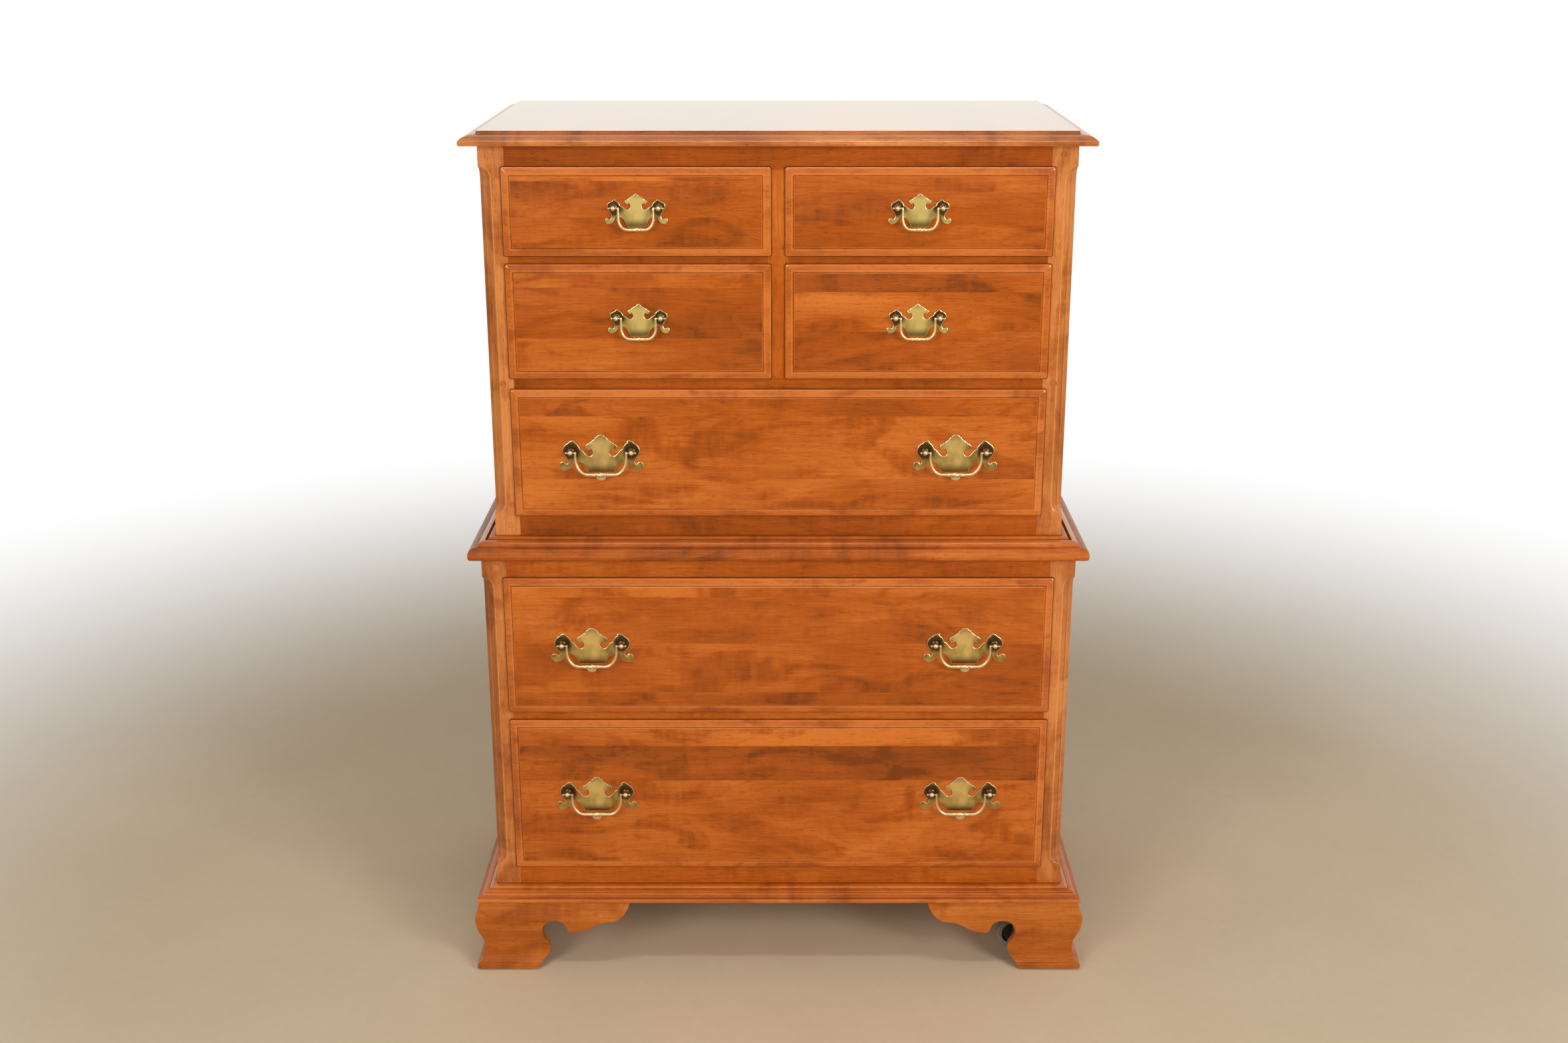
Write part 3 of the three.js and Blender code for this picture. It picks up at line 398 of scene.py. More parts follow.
class Weave:
    """A short way to wire shader nodes."""

    def __init__(self, tree: bpy.types.NodeTree) -> None:
        """Go on in a tree of nodes."""
        self.tree = tree

    def node(self, kind: str, **settings: object) -> bpy.types.Node:
        """Add a node and set its properties.

        Args:
            kind: The node's type.
            settings: The properties.

        Returns:
            The new node.
        """
        made = self.tree.nodes.new(kind)
        for key, value in settings.items():
            setattr(made, key, value)
        return made

    def link(self, source: Socket, target: Socket) -> None:
        """Join two sockets."""
        self.tree.links.new(source, target)

    def feed(self, socket: Socket, value: object) -> None:
        """Give a socket a link or a fixed value.

        Args:
            socket: The socket.
            value: Another socket, a number or a colour of four parts.
        """
        if isinstance(value, Socket):
            self.link(value, socket)
        else:
            socket.default_value = value

    def math(self, operation: str, *values: object, clamp: bool = False) -> Socket:
        """Add a Math node.

        Args:
            operation: What it does.
            values: Sockets or numbers.
            clamp: Whether its result stays between 0 and 1.

        Returns:
            The result.
        """
        made = self.node("ShaderNodeMath", operation=operation, use_clamp=clamp)
        for socket, value in zip(made.inputs, values):
            self.feed(socket, value)
        return made.outputs[0]

    def most(self, first: Socket, *others: object) -> Socket:
        """The largest of several values.

        Args:
            first: One value.
            others: The other values.

        Returns:
            The largest.
        """
        for other in others:
            first = self.math("MAXIMUM", first, other)
        return first

    def swing(self, noise: Socket, contrast: float, base: object, clamp: bool = False) -> Socket:
        """Add a noise's swing about its middle to a value.

        Args:
            noise: The noise.
            contrast: How much the swing counts.
            base: The value.
            clamp: Whether the result stays between 0 and 1.

        Returns:
            The result.
        """
        return self.math("MULTIPLY_ADD", self.math("SUBTRACT", noise, 0.5), contrast, base, clamp=clamp)

    def reach(self, first: Socket, second: Socket) -> Socket:
        """The distance from two values taken as sides of a right angle.

        Args:
            first: One side.
            second: The other side.

        Returns:
            The distance.
        """
        squares = [self.math("MULTIPLY", value, value) for value in (first, second)]
        return self.math("SQRT", self.math("ADD", *squares))

    def traded(self, first: Socket, second: Socket, share: Socket) -> tuple[Socket, Socket]:
        """Trade two coordinates where a share is 1.

        Args:
            first: One coordinate.
            second: The other coordinate.
            share: Where they are traded.

        Returns:
            The two coordinates.
        """
        turn = self.math("MULTIPLY", self.math("SUBTRACT", second, first), share)
        return self.math("ADD", first, turn), self.math("SUBTRACT", second, turn)

    def place(self) -> Socket:
        """Coordinates that stay with the piece."""
        return self.node("ShaderNodeTexCoord").outputs["Object"]

    def split(self, vector: Socket) -> list[Socket]:
        """Take a vector apart.

        Args:
            vector: The vector.

        Returns:
            Its three parts.
        """
        made = self.node("ShaderNodeSeparateXYZ")
        self.link(vector, made.inputs[0])
        return list(made.outputs)

    def noise(self, vector: Socket, scale: float, detail: float = 2.0, rough: float = 0.5,
              warp: float = 0.0) -> Socket:
        """Add a Noise texture.

        Args:
            vector: Where it is read.
            scale: How fine it is.
            detail: How many finer layers it has.
            rough: How much the finer layers count.
            warp: How far it is bent.

        Returns:
            Its value.
        """
        made = self.node("ShaderNodeTexNoise")
        self.link(vector, made.inputs["Vector"])
        for key, number in (("Scale", scale), ("Detail", detail), ("Roughness", rough), ("Distortion", warp)):
            made.inputs[key].default_value = number
        return made.outputs["Fac"]

    def figure(self, parts: tuple[Socket, ...], layer: Figure) -> Socket:
        """Add one layer of figure.

        Args:
            parts: The three coordinates.
            layer: The layer.

        Returns:
            Its value.
        """
        made = self.node("ShaderNodeCombineXYZ")
        for socket, part, pull in zip(made.inputs, parts, layer.stretch):
            self.link(self.math("MULTIPLY", part, pull), socket)
        return self.noise(made.outputs[0], 1.0, layer.detail, layer.rough, layer.warp)

    def ramp(self, value: Socket, stops: list[tuple[float, Triple]], steps: bool = False) -> Socket:
        """Add a colour ramp and return its colour.

        Args:
            value: What drives the ramp.
            stops: Place and colour of each stop.
            steps: Whether the colour jumps from stop to stop.

        Returns:
            The colour socket.
        """
        made = self.node("ShaderNodeValToRGB")
        made.color_ramp.interpolation = "CONSTANT" if steps else "LINEAR"
        entries = made.color_ramp.elements
        while len(entries) < len(stops):
            entries.new(1.0)
        for entry, (at, _) in zip(entries, stops):
            entry.position = at
        for entry, (_, colour) in zip(entries, stops):
            entry.color = (*colour, 1.0)
        self.link(value, made.inputs[0])
        return made.outputs["Color"]

    def span(self, value: Socket, low: float, high: float, to_low: float = 0.0,
             to_high: float = 1.0) -> Socket:
        """Map a range to another and clamp it.

        Args:
            value: What is mapped.
            low: Where the range starts.
            high: Where it ends.
            to_low: The result at its start.
            to_high: The result at its end.

        Returns:
            The result.
        """
        made = self.node("ShaderNodeMapRange", clamp=True, interpolation_type="SMOOTHSTEP")
        self.link(value, made.inputs["Value"])
        for key, number in (("From Min", low), ("From Max", high), ("To Min", to_low), ("To Max", to_high)):
            made.inputs[key].default_value = number
        return made.outputs["Result"]

    def mix(self, share: Socket, first: object, second: object) -> Socket:
        """Mix two colours.

        Args:
            share: How much of the second there is.
            first: A socket or a colour of three parts.
            second: Another one.

        Returns:
            The colour.
        """
        made = self.node("ShaderNodeMix", data_type="RGBA")
        self.link(share, made.inputs[0])
        for socket, colour in ((made.inputs[6], first), (made.inputs[7], second)):
            self.feed(socket, colour if isinstance(colour, Socket) else (*colour, 1.0))
        return made.outputs[2]


class Surface(Weave):
    """The nodes of a new material, around its Principled shader."""

    def __init__(self, name: str) -> None:
        """Start the material.

        Args:
            name: The material's name.
        """
        self.material = bpy.data.materials.new(name)
        self.material.use_nodes = True
        super().__init__(self.material.node_tree)
        self.shader = self.tree.nodes["Principled BSDF"]

    def paint(self, colour: Socket) -> None:
        """Give the shader its colour."""
        self.link(colour, self.shader.inputs["Base Color"])

    def bump(self, height: Socket, strength: float, distance: float) -> None:
        """Feed a height to the shader's normal.

        Args:
            height: The height.
            strength: How much it counts.
            distance: How far the surface is raised, in metres.
        """
        made = self.node("ShaderNodeBump")
        made.inputs["Strength"].default_value = strength
        made.inputs["Distance"].default_value = distance
        self.link(height, made.inputs["Height"])
        self.link(made.outputs["Normal"], self.shader.inputs["Normal"])

    def set(self, **sockets: float) -> None:
        """Set plain numbers on the shader's own sockets."""
        for key, value in sockets.items():
            self.shader.inputs[key.replace("_", " ")].default_value = value


@dataclass(frozen=True)
class Board:
    """One glued board in a wide panel: where it starts across the panel, and how dark it is."""

    start: float
    shade: float


@dataclass(frozen=True)
class Maple:
    """Stained maple under satin lacquer."""

    pale: Triple = (0.66, 0.18, 0.024)
    middle: Triple = (0.45, 0.094, 0.007)
    deep: Triple = (0.2, 0.044, 0.004)
    colour_stops: Triple = (0.12, 0.5, 0.98)
    ground: float = 0.36
    lacquer_roughness: float = 0.14
    wood_roughness: float = 0.42
    lacquer_weight: float = 0.4
    wood_gloss: float = 0.06
    edge_lacquer: float = 1.0
    edge_roughness: float = 0.08
    ior: float = 1.5
    stile_tone: float = -0.25
    blotch: Figure = Figure((6.5, 1.0, 15.0), 3.0, 0.5, 1.6)
    blotch_span: Pair = (0.48, 0.68)
    blotch_contrast: float = 0.27
    cloud: Figure = Figure((3.0, 1.0, 8.0), 3.0, 0.5, 0.8)
    cloud_contrast: float = 1.15
    ring_field: Figure = Figure((2.1, 3.0, 12.0), 1.5, 0.4, 0.3)
    rings: float = 15.0
    ring_power: float = 5.0
    ring_contrast: float = 0.1
    streak: Figure = Figure((16.0, 330.0, 330.0), 5.0, 0.7)
    streak_contrast: float = 0.45
    line: Figure = Figure((22.0, 1300.0, 1300.0), 1.0)
    line_contrast: float = 0.42
    line_strength: float = 0.05
    line_depth: float = 0.4 * MM
    fleck: Figure = Figure((95.0, 900.0, 900.0))
    pore_span: Pair = (0.6, 0.7)
    pore_contrast: float = 0.3
    curl: Figure = Figure((95.0, 1.0, 22.0))
    curl_outside: float = 0.2
    curl_contrast: float = 0.6
    seed_shift: Triple = (1.37, 0.71, 0.53)
    board_shift: float = 7.3

    def material(self, name: str, grain: Grain, seed: float, boards: tuple[Board, ...] = (),
                 across: Pair = (0.0, 1.0), shade: float = 0.0, stile: Triple | None = None,
                 mitre: float | None = None) -> Finish:
        """Build the finish of one piece.

        Args:
            name: The material's name.
            grain: The way the grain runs.
            seed: A number that moves the figure, so that no two pieces are alike.
            boards: The glued boards of a wide panel, from its low edge up.
            across: The panel's low and high edge, for the boards.
            shade: Makes the whole piece darker above 0 and paler below.
            stile: Half the width and the low and high end of a middle stile, whose grain stands upright.
            mitre: The sum of |x| and y on the mitre line, past which the grain runs from front to back.

        Returns:
            The material.
        """
        w = Surface(name)
        parts = w.split(w.place())
        along, side, rise = (parts[i] for i in grain.value)
        tone: object = shade
        if stile:
            half, foot, head = stile
            inside = w.math("LESS_THAN", w.math("ABSOLUTE", along), half)
            inside = w.math("MULTIPLY", inside, w.math("GREATER_THAN", rise, foot))
            inside = w.math("MULTIPLY", inside, w.math("LESS_THAN", rise, head))
            along, rise = w.traded(along, rise, inside)
            tone = w.math("MULTIPLY_ADD", inside, self.stile_tone, tone)
        if mitre is not None:
            past = w.math("GREATER_THAN", w.math("ADD", w.math("ABSOLUTE", along), side), mitre)
            along, side = w.traded(along, side, past)
        if boards:
            level = w.math("DIVIDE", w.math("SUBTRACT", rise, across[0]), across[1] - across[0])
            # A ramp's colours go from 0 to 1, so a shade from -1 to 1 is halved and raised, then read back.
            stops = [(board.start, ((board.shade + 1) / 2,) * 3) for board in boards]
            steps = w.split(w.ramp(level, stops, steps=True))[0]
            tone = w.math("ADD", w.math("MULTIPLY_ADD", steps, 2.0, -1.0), shade)
            along = w.math("MULTIPLY_ADD", steps, self.board_shift, along)
        shifts = (seed * shift for shift in self.seed_shift)
        places = tuple(w.math("ADD", part, shift) for part, shift in zip((along, side, rise), shifts))
        line = w.figure(places, self.line)
        dark = w.math("ADD", self.darkness(w, places, line), tone, clamp=True)
        w.paint(w.ramp(dark, list(zip(self.colour_stops, (self.pale, self.middle, self.deep)))))
        w.set(Roughness=self.wood_roughness, IOR=self.ior, Specular_IOR_Level=self.wood_gloss,
              Coat_Weight=self.lacquer_weight, Coat_Roughness=self.lacquer_roughness, Coat_IOR=self.ior)
        w.bump(line, self.line_strength, self.line_depth)
        return w.material

    def darkness(self, w: Weave, places: tuple[Socket, ...], line: Socket) -> Socket:
        """How dark the stain is, from its blotches and clouds down to the pores and fine lines.

        Args:
            w: The material's nodes.
            places: The coordinates along, beside and across the grain.
            line: The noise of the fine lines.

        Returns:
            The darkness, before the piece's own shade.
        """
        patch = w.span(w.figure(places, self.blotch), *self.blotch_span)
        dark = w.math("MULTIPLY_ADD", patch, self.blotch_contrast, self.ground)
        dark = w.swing(w.figure(places, self.cloud), self.cloud_contrast, dark)
        rings = w.math("FRACT", w.math("MULTIPLY", w.figure(places, self.ring_field), self.rings))
        dark = w.math("MULTIPLY_ADD", w.math("POWER", rings, self.ring_power), self.ring_contrast, dark)
        dark = w.swing(w.figure(places, self.streak), self.streak_contrast, dark)
        dark = w.swing(line, self.line_contrast, dark)
        pores = w.span(w.figure(places, self.fleck), *self.pore_span)
        dark = w.math("MULTIPLY_ADD", pores, self.pore_contrast, dark)
        curl = w.math("SUBTRACT", w.figure(places, self.curl), 0.5)
        share = w.math("MULTIPLY_ADD", patch, 1 - self.curl_outside, self.curl_outside)
        curl = w.math("MULTIPLY", curl, share)
        return w.math("MULTIPLY_ADD", curl, self.curl_contrast, dark)

    def worked(self, name: str, grain: Grain, seed: float, shade: float = 0.0,
               mitre: float | None = None) -> list[Finish]:
        """The lit and shaded finishes of a moulded piece, one for each tone. Its highlights and bands are
        glossy, its creases dull.

        Args:
            name: The start of the materials' names.
            grain: The way the grain runs.
            seed: Moves the figure.
            shade: Makes the whole piece darker above 0 and paler below.
            mitre: The mitre line, as in material.

        Returns:
            The materials, in the order of the tones.
        """
        shiny = replace(self, lacquer_weight=self.edge_lacquer, lacquer_roughness=self.edge_roughness)
        dull = replace(self, lacquer_weight=0.0, wood_gloss=0.0)
        kinds = {Tone.ARRIS: shiny, Tone.BAND: shiny, Tone.CREASE: dull}
        return [kinds.get(tone, self).material(f"{name}_{tone.name.lower()}", grain, seed,
                                               shade=shade + tone.value[1], mitre=mitre) for tone in Tone]


@dataclass(frozen=True)
class PlainWood:
    """Unstained wood inside the cases."""

    pale: Triple = (0.62, 0.44, 0.25)
    deep: Triple = (0.43, 0.26, 0.12)
    slow: Figure = Figure((2.0, 16.0, 16.0), 3.0, 0.5, 0.6)
    slow_share: float = 0.6
    fine: Figure = Figure((12.0, 380.0, 380.0), 3.0, 0.6)
    fine_share: float = 0.45
    fine_strength: float = 0.15
    fine_depth: float = 0.5 * MM
    roughness: float = 0.6
    ior: float = 1.45

    def material(self, name: str, grain: Grain, seed: float) -> Finish:
        """Build the finish with its grain along one axis.

        Args:
            name: The material's name.
            grain: The way the grain runs.
            seed: Moves the figure.

        Returns:
            The material.
        """
        w = Surface(name)
        parts = w.split(w.place())
        along, side, rise = (parts[i] for i in grain.value)
        places = (w.math("ADD", along, seed), side, rise)
        fine = w.figure(places, self.fine)
        slow = w.math("MULTIPLY", w.figure(places, self.slow), self.slow_share)
        w.paint(w.mix(w.math("MULTIPLY_ADD", fine, self.fine_share, slow, clamp=True), self.pale, self.deep))
        w.set(Roughness=self.roughness, IOR=self.ior)
        w.bump(fine, self.fine_strength, self.fine_depth)
        return w.material


@dataclass(frozen=True)
class AntiqueBrass:
    """Brushed brass with dark toning round the posts and in the folds, and painted highlight and shade on the
    plates. Spans of place are in metres.
    """

    bright: Triple = (0.88, 0.65, 0.25)
    # The darker brass, which on the plates' flanks is painted shade and elsewhere comes in random patches.
    worn: Triple = (0.27, 0.17, 0.04)
    rubbed: Triple = (0.74, 0.6, 0.36)
    toned: Triple = (0.085, 0.048, 0.022)
    roughness: float = 0.34
    rim_roughness: float = 0.36
    plate_cloud: float = 90.0
    ear_wander: float = 6 * MM
    ear_span: Pair = (9 * MM, 16.5 * MM)
    ear_tone: float = 0.95
    head_shares: Pair = (0.5, 0.92)
    head_tone: float = 0.42
    foot_tone: float = 0.8
    foot_middle: Pair = (0.42, 0.2)
    brushed: Figure = Figure((2200.0, 1.0, 90.0), 2.0, 0.6)
    brushed_contrast: float = 0.7
    brushed_strength: float = 0.12
    brushed_depth: float = 0.3 * MM
    sheen: Figure = Figure((70.0, 1.0, 45.0), 1.0)
    sheen_contrast: float = 1.5
    cloud_contrast: float = 0.3
    flank_shares: Pair = (0.04, 0.3)
    # How far the plate's colour turns from painted highlight in the middle to painted shade on the flanks.
    flank_painted_shade: Pair = (0.06, 0.72)
    face_span: Pair = (-15.5 * MM, -12.5 * MM)
    rim_cloud: float = 180.0
    rim_span: Pair = (0.45, 0.75)
    bail_cloud: float = 160.0
    bail_detail: float = 3.0
    bail_span: Pair = (0.35, 0.75)
    bail_wear: float = 0.4
    pin_span: Pair = (-12 * MM, 0.0)
    pin_tone: float = 0.3
    fold_span: Pair = (0.42, 0.49)
    fold_tone: float = 0.8

    def plate(self, name: str, boring: float, top: float, foot: float) -> Finish:
        """The plate's finish, with dark ears, a dark band at its head and foot, and painted highlight turning
        to painted shade on its flanks.

        Args:
            name: The material's name.
            boring: Distance between the posts.
            top: Height of the plate above the posts.
            foot: Depth of the plate below the posts.

        Returns:
            The material.
        """
        w = Surface(name)
        place = w.place()
        x, y, z = parts = w.split(place)
        across = w.math("ABSOLUTE", x)
        cloud = w.noise(place, self.plate_cloud)
        from_post = w.swing(cloud, self.ear_wander, w.reach(w.math("SUBTRACT", across, boring / 2), z))
        ear = w.span(from_post, *self.ear_span, self.ear_tone, 0.0)
        near, far = self.head_shares
        head = w.span(z, top * near, top * far, 0.0, self.head_tone)
        low = w.span(z, -foot * far, -foot * near, self.foot_tone, 0.0)
        low = w.math("MULTIPLY", low, w.span(across, *(boring * share for share in self.foot_middle)))
        brushed = w.figure(parts, self.brushed)
        # Painted highlight in the plate's middle that turns to painted shade on its flanks, broken up by
        # brushing, sheen and clouds.
        wear = w.span(across, *(boring * share for share in self.flank_shares), *self.flank_painted_shade)
        wear = w.swing(brushed, self.brushed_contrast, wear)
        wear = w.swing(w.figure(parts, self.sheen), self.sheen_contrast, wear)
        wear = w.swing(cloud, self.cloud_contrast, wear, clamp=True)
        # Off the plate, on the ball heads, the colour is the paler rubbed brass, which also paints their pale
        # reflection.
        on_plate = w.span(y, *self.face_span)
        face = w.mix(on_plate, self.rubbed, w.mix(wear, self.bright, self.worn))
        w.paint(w.mix(w.math("MULTIPLY", w.most(ear, head, low), on_plate), face, self.toned))
        w.set(Metallic=1.0, Roughness=self.roughness)
        w.bump(brushed, self.brushed_strength, self.brushed_depth)
        return w.material

    def rim(self, name: str) -> Finish:
        """The plate's bevelled rim, rubbed bright, whose bright colour also paints a highlight along the
        bevel.

        Args:
            name: The material's name.

        Returns:
            The material.
        """
        w = Surface(name)
        cloud = w.noise(w.place(), self.rim_cloud)
        w.paint(w.mix(w.span(cloud, *self.rim_span), self.rubbed, self.bright))
        w.set(Metallic=1.0, Roughness=self.rim_roughness)
        return w.material

    def bail(self, name: str) -> Finish:
        """The bail's finish: darker near its pins and in the grooves of its beads.

        Args:
            name: The material's name.

        Returns:
            The material.
        """
        w = Surface(name)
        place = w.place()
        near_pins = w.span(w.split(place)[2], *self.pin_span, 0.0, self.pin_tone)
        edges = w.node("ShaderNodeNewGeometry").outputs["Pointiness"]
        tone = w.most(near_pins, w.span(edges, *self.fold_span, self.fold_tone, 0.0))
        wear = w.span(w.noise(place, self.bail_cloud, self.bail_detail), *self.bail_span, 0.0, self.bail_wear)
        w.paint(w.mix(tone, w.mix(wear, self.rubbed, self.bright), self.toned))
        w.set(Metallic=1.0, Roughness=self.rim_roughness)
        return w.material


@dataclass(frozen=True)
class WornCoat:
    """A dull coat with slight wear, such as the casters' dark steel and their grey treads."""

    colour: Triple
    wear: Triple
    metallic: float
    roughness: float
    cloud: Figure = Figure((240.0, 240.0, 240.0), 3.0, 0.6)
    wear_span: Pair = (0.45, 0.75)
    strength: float = 0.1
    depth: float = 0.4 * MM

    def material(self, name: str) -> Finish:
        """Build the finish.

        Args:
            name: The material's name.

        Returns:
            The material.
        """
        w = Surface(name)
        cloud = w.figure(w.split(w.place()), self.cloud)
        w.paint(w.mix(w.span(cloud, *self.wear_span), self.colour, self.wear))
        w.set(Metallic=self.metallic, Roughness=self.roughness)
        w.bump(cloud, self.strength, self.depth)
        return w.material


MAPLE = Maple()
POLISHED_MAPLE = Maple(lacquer_roughness=0.05, wood_roughness=0.22, lacquer_weight=1.0, wood_gloss=0.5)
RAIL_MAPLE = Maple(lacquer_weight=0.2, blotch_contrast=0.1, cloud_contrast=0.75)
# Paler, yellower maple for the posts, the top's edge and the plugs; its paler colours also paint the sheen on
# the posts' faces.
POST_MAPLE = Maple(pale=(0.74, 0.27, 0.07), middle=(0.5, 0.135, 0.022), deep=(0.22, 0.056, 0.009),
                   lacquer_weight=0.8)
FOOT_MAPLE = Maple(pale=(0.64, 0.195, 0.03), middle=(0.45, 0.106, 0.009), deep=(0.2, 0.048, 0.005))
PLAIN_WOOD = PlainWood()
# The small plates get a stronger painted highlight and less painted shade on their flanks.
BRASS = {"large": AntiqueBrass(), "small": AntiqueBrass(bright=(1.0, 0.79, 0.27), flank_painted_shade=(-0.15, 0.42))}
DARK_STEEL = WornCoat(colour=(0.035, 0.034, 0.033), wear=(0.09, 0.085, 0.08), metallic=0.6, roughness=0.45)
GREY_TREAD = WornCoat(colour=(0.3, 0.285, 0.265), wear=(0.22, 0.21, 0.2), metallic=0.0, roughness=0.65)


def dress(piece: Piece, material: Finish) -> None:
    """Give a whole piece one finish."""
    piece.data.materials.clear()
    piece.data.materials.append(material)


def dress_worked(piece: Piece, materials: list[Finish]) -> None:
    """Give a piece a list of finishes and keep the choice that its faces carry.

    Args:
        piece: The piece.
        materials: The finishes, in the order that its faces count them.
    """
    places = [face.material_index for face in piece.data.polygons]
    piece.data.materials.clear()
    for material in materials:
        piece.data.materials.append(material)
    for face, place in zip(piece.data.polygons, places):
        face.material_index = place


def dress_node(name: str, material: Finish) -> None:
    """Give a finish to a node that keeps the frame's mesh."""
    dress(bpy.data.objects[name], material)
    LOG.info("%s keeps the frame's mesh", name)


def seat(piece: Piece, body: str, nodes: tuple[str, ...]) -> None:
    """Tie a piece to its body and hide the nodes that it stands for.

    Args:
        piece: The finished piece.
        body: The body that it rides on.
        nodes: The CAD nodes that it replaces.
    """
    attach(piece, body)
    if nodes:
        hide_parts(*nodes)
    LOG.info("%s rides on %s with %d faces", piece.name, body, len(piece.data.polygons))


# The frame's places


@dataclass
class Places:
    """Faces and levels that are read from the frame."""

    lower_half: float
    upper_half: float
    lower_front: float
    upper_front: float
    back: float

    @classmethod
    def read(cls) -> "Places":
        """Read them from the posts and the back.

        Returns:
            The places.
        """
        low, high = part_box("lower_right_post")
        low_up, high_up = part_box("upper_right_post")
        return cls(high.x, high_up.x, low.y, low_up.y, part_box("back_panel")[1].y)

    def case(self, name: str) -> Pair:
        """Half the width of the upper or lower case, and its front face."""
        return (self.upper_half, self.upper_front) if name == "upper" else (self.lower_half, self.lower_front)


# Mouldings


@dataclass
class Mouldings:
    """Top board, waist and base, each moulded on the front and both sides.

    A run is [out from the case's face, up from the moulding's foot] in millimetres, with its tone of plain
    colour, painted light or painted shade.
    """

    places: Places
    frame_member: float = 80 * MM
    back_gap: float = 6.3 * MM
    notch_half: float = 430.3 * MM
    top_figure: float = 3.1
    top_edge_shade: float = 0.08
    top_runs: Moulded = field(default_factory=lambda: [
        (Tone.ARRIS, [(21.6, 0), (22.6, 0.6), (23.1, 1.3)]),
        (Tone.BAND, [(23.1, 1.3), (23.6, 3.7), (22.8, 6.8), (20, 9.7)]),
        (Tone.PLAIN, [(20, 9.7), (15.2, 12.4), (10, 13.8), (5.5, 14.5), (2.8, 14.7)]),
        (Tone.PLAIN, [(2.8, 14.7), (1.8, 14.8)]), (Tone.SHADED, [(1.8, 14.8), (1, 15.3), (0.6, 16)]),
        (Tone.SHADED, [(0.6, 16), (0.3, 18.7)]), (Tone.ARRIS, [(0.3, 18.7), (0, 19)]),
    ])
    waist_runs: Moulded = field(default_factory=lambda: [
        (Tone.CREASE, [(33.5, 0), (35.1, 0.4)]),
        (Tone.PLAIN, [(35.1, 0.4), (37.2, 2.8), (37.9, 6.5)]),
        (Tone.BAND, [(37.9, 6.5), (37.8, 10), (36.7, 13.6)]),
        (Tone.PLAIN, [(36.7, 13.6), (34.4, 16.6), (31, 18.2)]), (Tone.SHADED, [(31, 18.2), (27, 18.6)]),
        (Tone.PLAIN, [(27, 18.6), (24.2, 18.8)]), (Tone.BAND, [(24.2, 18.8), (24, 20.8)]),
        (Tone.BAND, [(24, 20.8), (22.6, 23.2), (20.2, 24.7), (17, 25.6)]),
        (Tone.ARRIS, [(17, 25.6), (14.6, 25.8)]),
        (Tone.CREASE, [(14.6, 25.8), (12.4, 25.1), (10.4, 25.6)]),
        (Tone.PLAIN, [(10.4, 25.6), (9.7, 27.2), (8.3, 28.5)]), (Tone.ARRIS, [(8.3, 28.5), (7.4, 28.7)]),
        (Tone.PLAIN, [(7.4, 28.7), (1.4, 28.7)]), (Tone.CREASE, [(1.4, 28.7), (-3, 28.7)]),
    ])
    base_runs: Moulded = field(default_factory=lambda: [
        (Tone.CREASE, [(26.5, 0), (27.9, 0.3)]),
        (Tone.BAND, [(27.9, 0.3), (29.4, 1.5), (29.9, 3.4), (29.6, 5.2), (28.3, 6.9)]),
        (Tone.SHADED, [(28.3, 6.9), (25.2, 7.5), (22.6, 8.8), (21.4, 10.3)]),
        (Tone.BAND, [(21.4, 10.3), (21.5, 11.4), (20.7, 12.6), (19.5, 13.1)]),
        (Tone.CREASE, [(19.5, 13.1), (18.8, 13.4)]), (Tone.PLAIN, [(18.8, 13.4), (18.6, 15)]),
        (Tone.ARRIS, [(18.6, 15), (18, 15.3)]), (Tone.PLAIN, [(18, 15.3), (12.8, 16.4)]),
        (Tone.CREASE, [(12.8, 16.4), (11.8, 16.6)]),
        (Tone.BAND, [(11.8, 16.6), (11.5, 18.3), (10.2, 19.5), (7.6, 20.1)]),
        (Tone.ARRIS, [(7.6, 20.1), (6.6, 20.2)]),
        (Tone.PLAIN, [(6.6, 20.2), (1.4, 20.2)]), (Tone.CREASE, [(1.4, 20.2), (-3, 20.2)]),
    ])

    def ring(self, half: float, front: float, back: float, z: float, notched: bool = False) -> Ring:
        """One ring in plan at one height.

        Args:
            half: Half its width.
            front: Its front edge.
            back: Its back edge.
            z: The height.
            notched: Whether the back sheet passes through its back edge.

        Returns:
            The ring's points.
        """
        inner, notch, end = half, back, back
        if notched:
            inner, notch = min(half, self.notch_half), back - self.back_gap
            end = back if half > self.notch_half else notch
        right = [(half, front), (half, end), (inner, end), (inner, notch)]
        plan = [(-half, front)] + right + [(-x, y) for x, y in reversed(right[1:])]
        return [Vector((x, y, z)) for x, y in plan]

    def outer_rings(self, runs: Moulded, half: float, front: float, back: float, foot: float,
                    notched: bool = False) -> list[Ring]:
        """Rings of a moulded edge from its foot to its head.

        Args:
            runs: Runs of [out, up] in millimetres.
            half: Half the width of the case beside it.
            front: The case's front face.
            back: Where the moulding ends at the back.
            foot: The moulding's lowest level.
            notched: Whether the back sheet passes through it.

        Returns:
            The rings in order.
        """
        profile = scaled(joined_runs([points for _, points in runs]))
        return [self.ring(half + out, front - out, back, foot + up, notched) for out, up in profile]

    def top(self) -> None:
        """The top board."""
        p = self.places
        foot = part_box("top_board")[0].z
        rings = self.outer_rings(self.top_runs, p.upper_half, p.upper_front, p.back, foot)
        mesh = rings_mesh("top_slab", [(rings, False)], tones=run_tones(self.top_runs), mitred=True)
        piece = shown("top_slab", mesh)
        finishes = POST_MAPLE.worked("maple_top_edge", Grain.ACROSS, self.top_figure, self.top_edge_shade)
        piece.data.polygons[-1].material_index = len(finishes)
        finishes.append(POLISHED_MAPLE.material("maple_top_field", Grain.ACROSS, self.top_figure))
        dress_worked(piece, finishes)
        seat(piece, "case", ("top_board",))

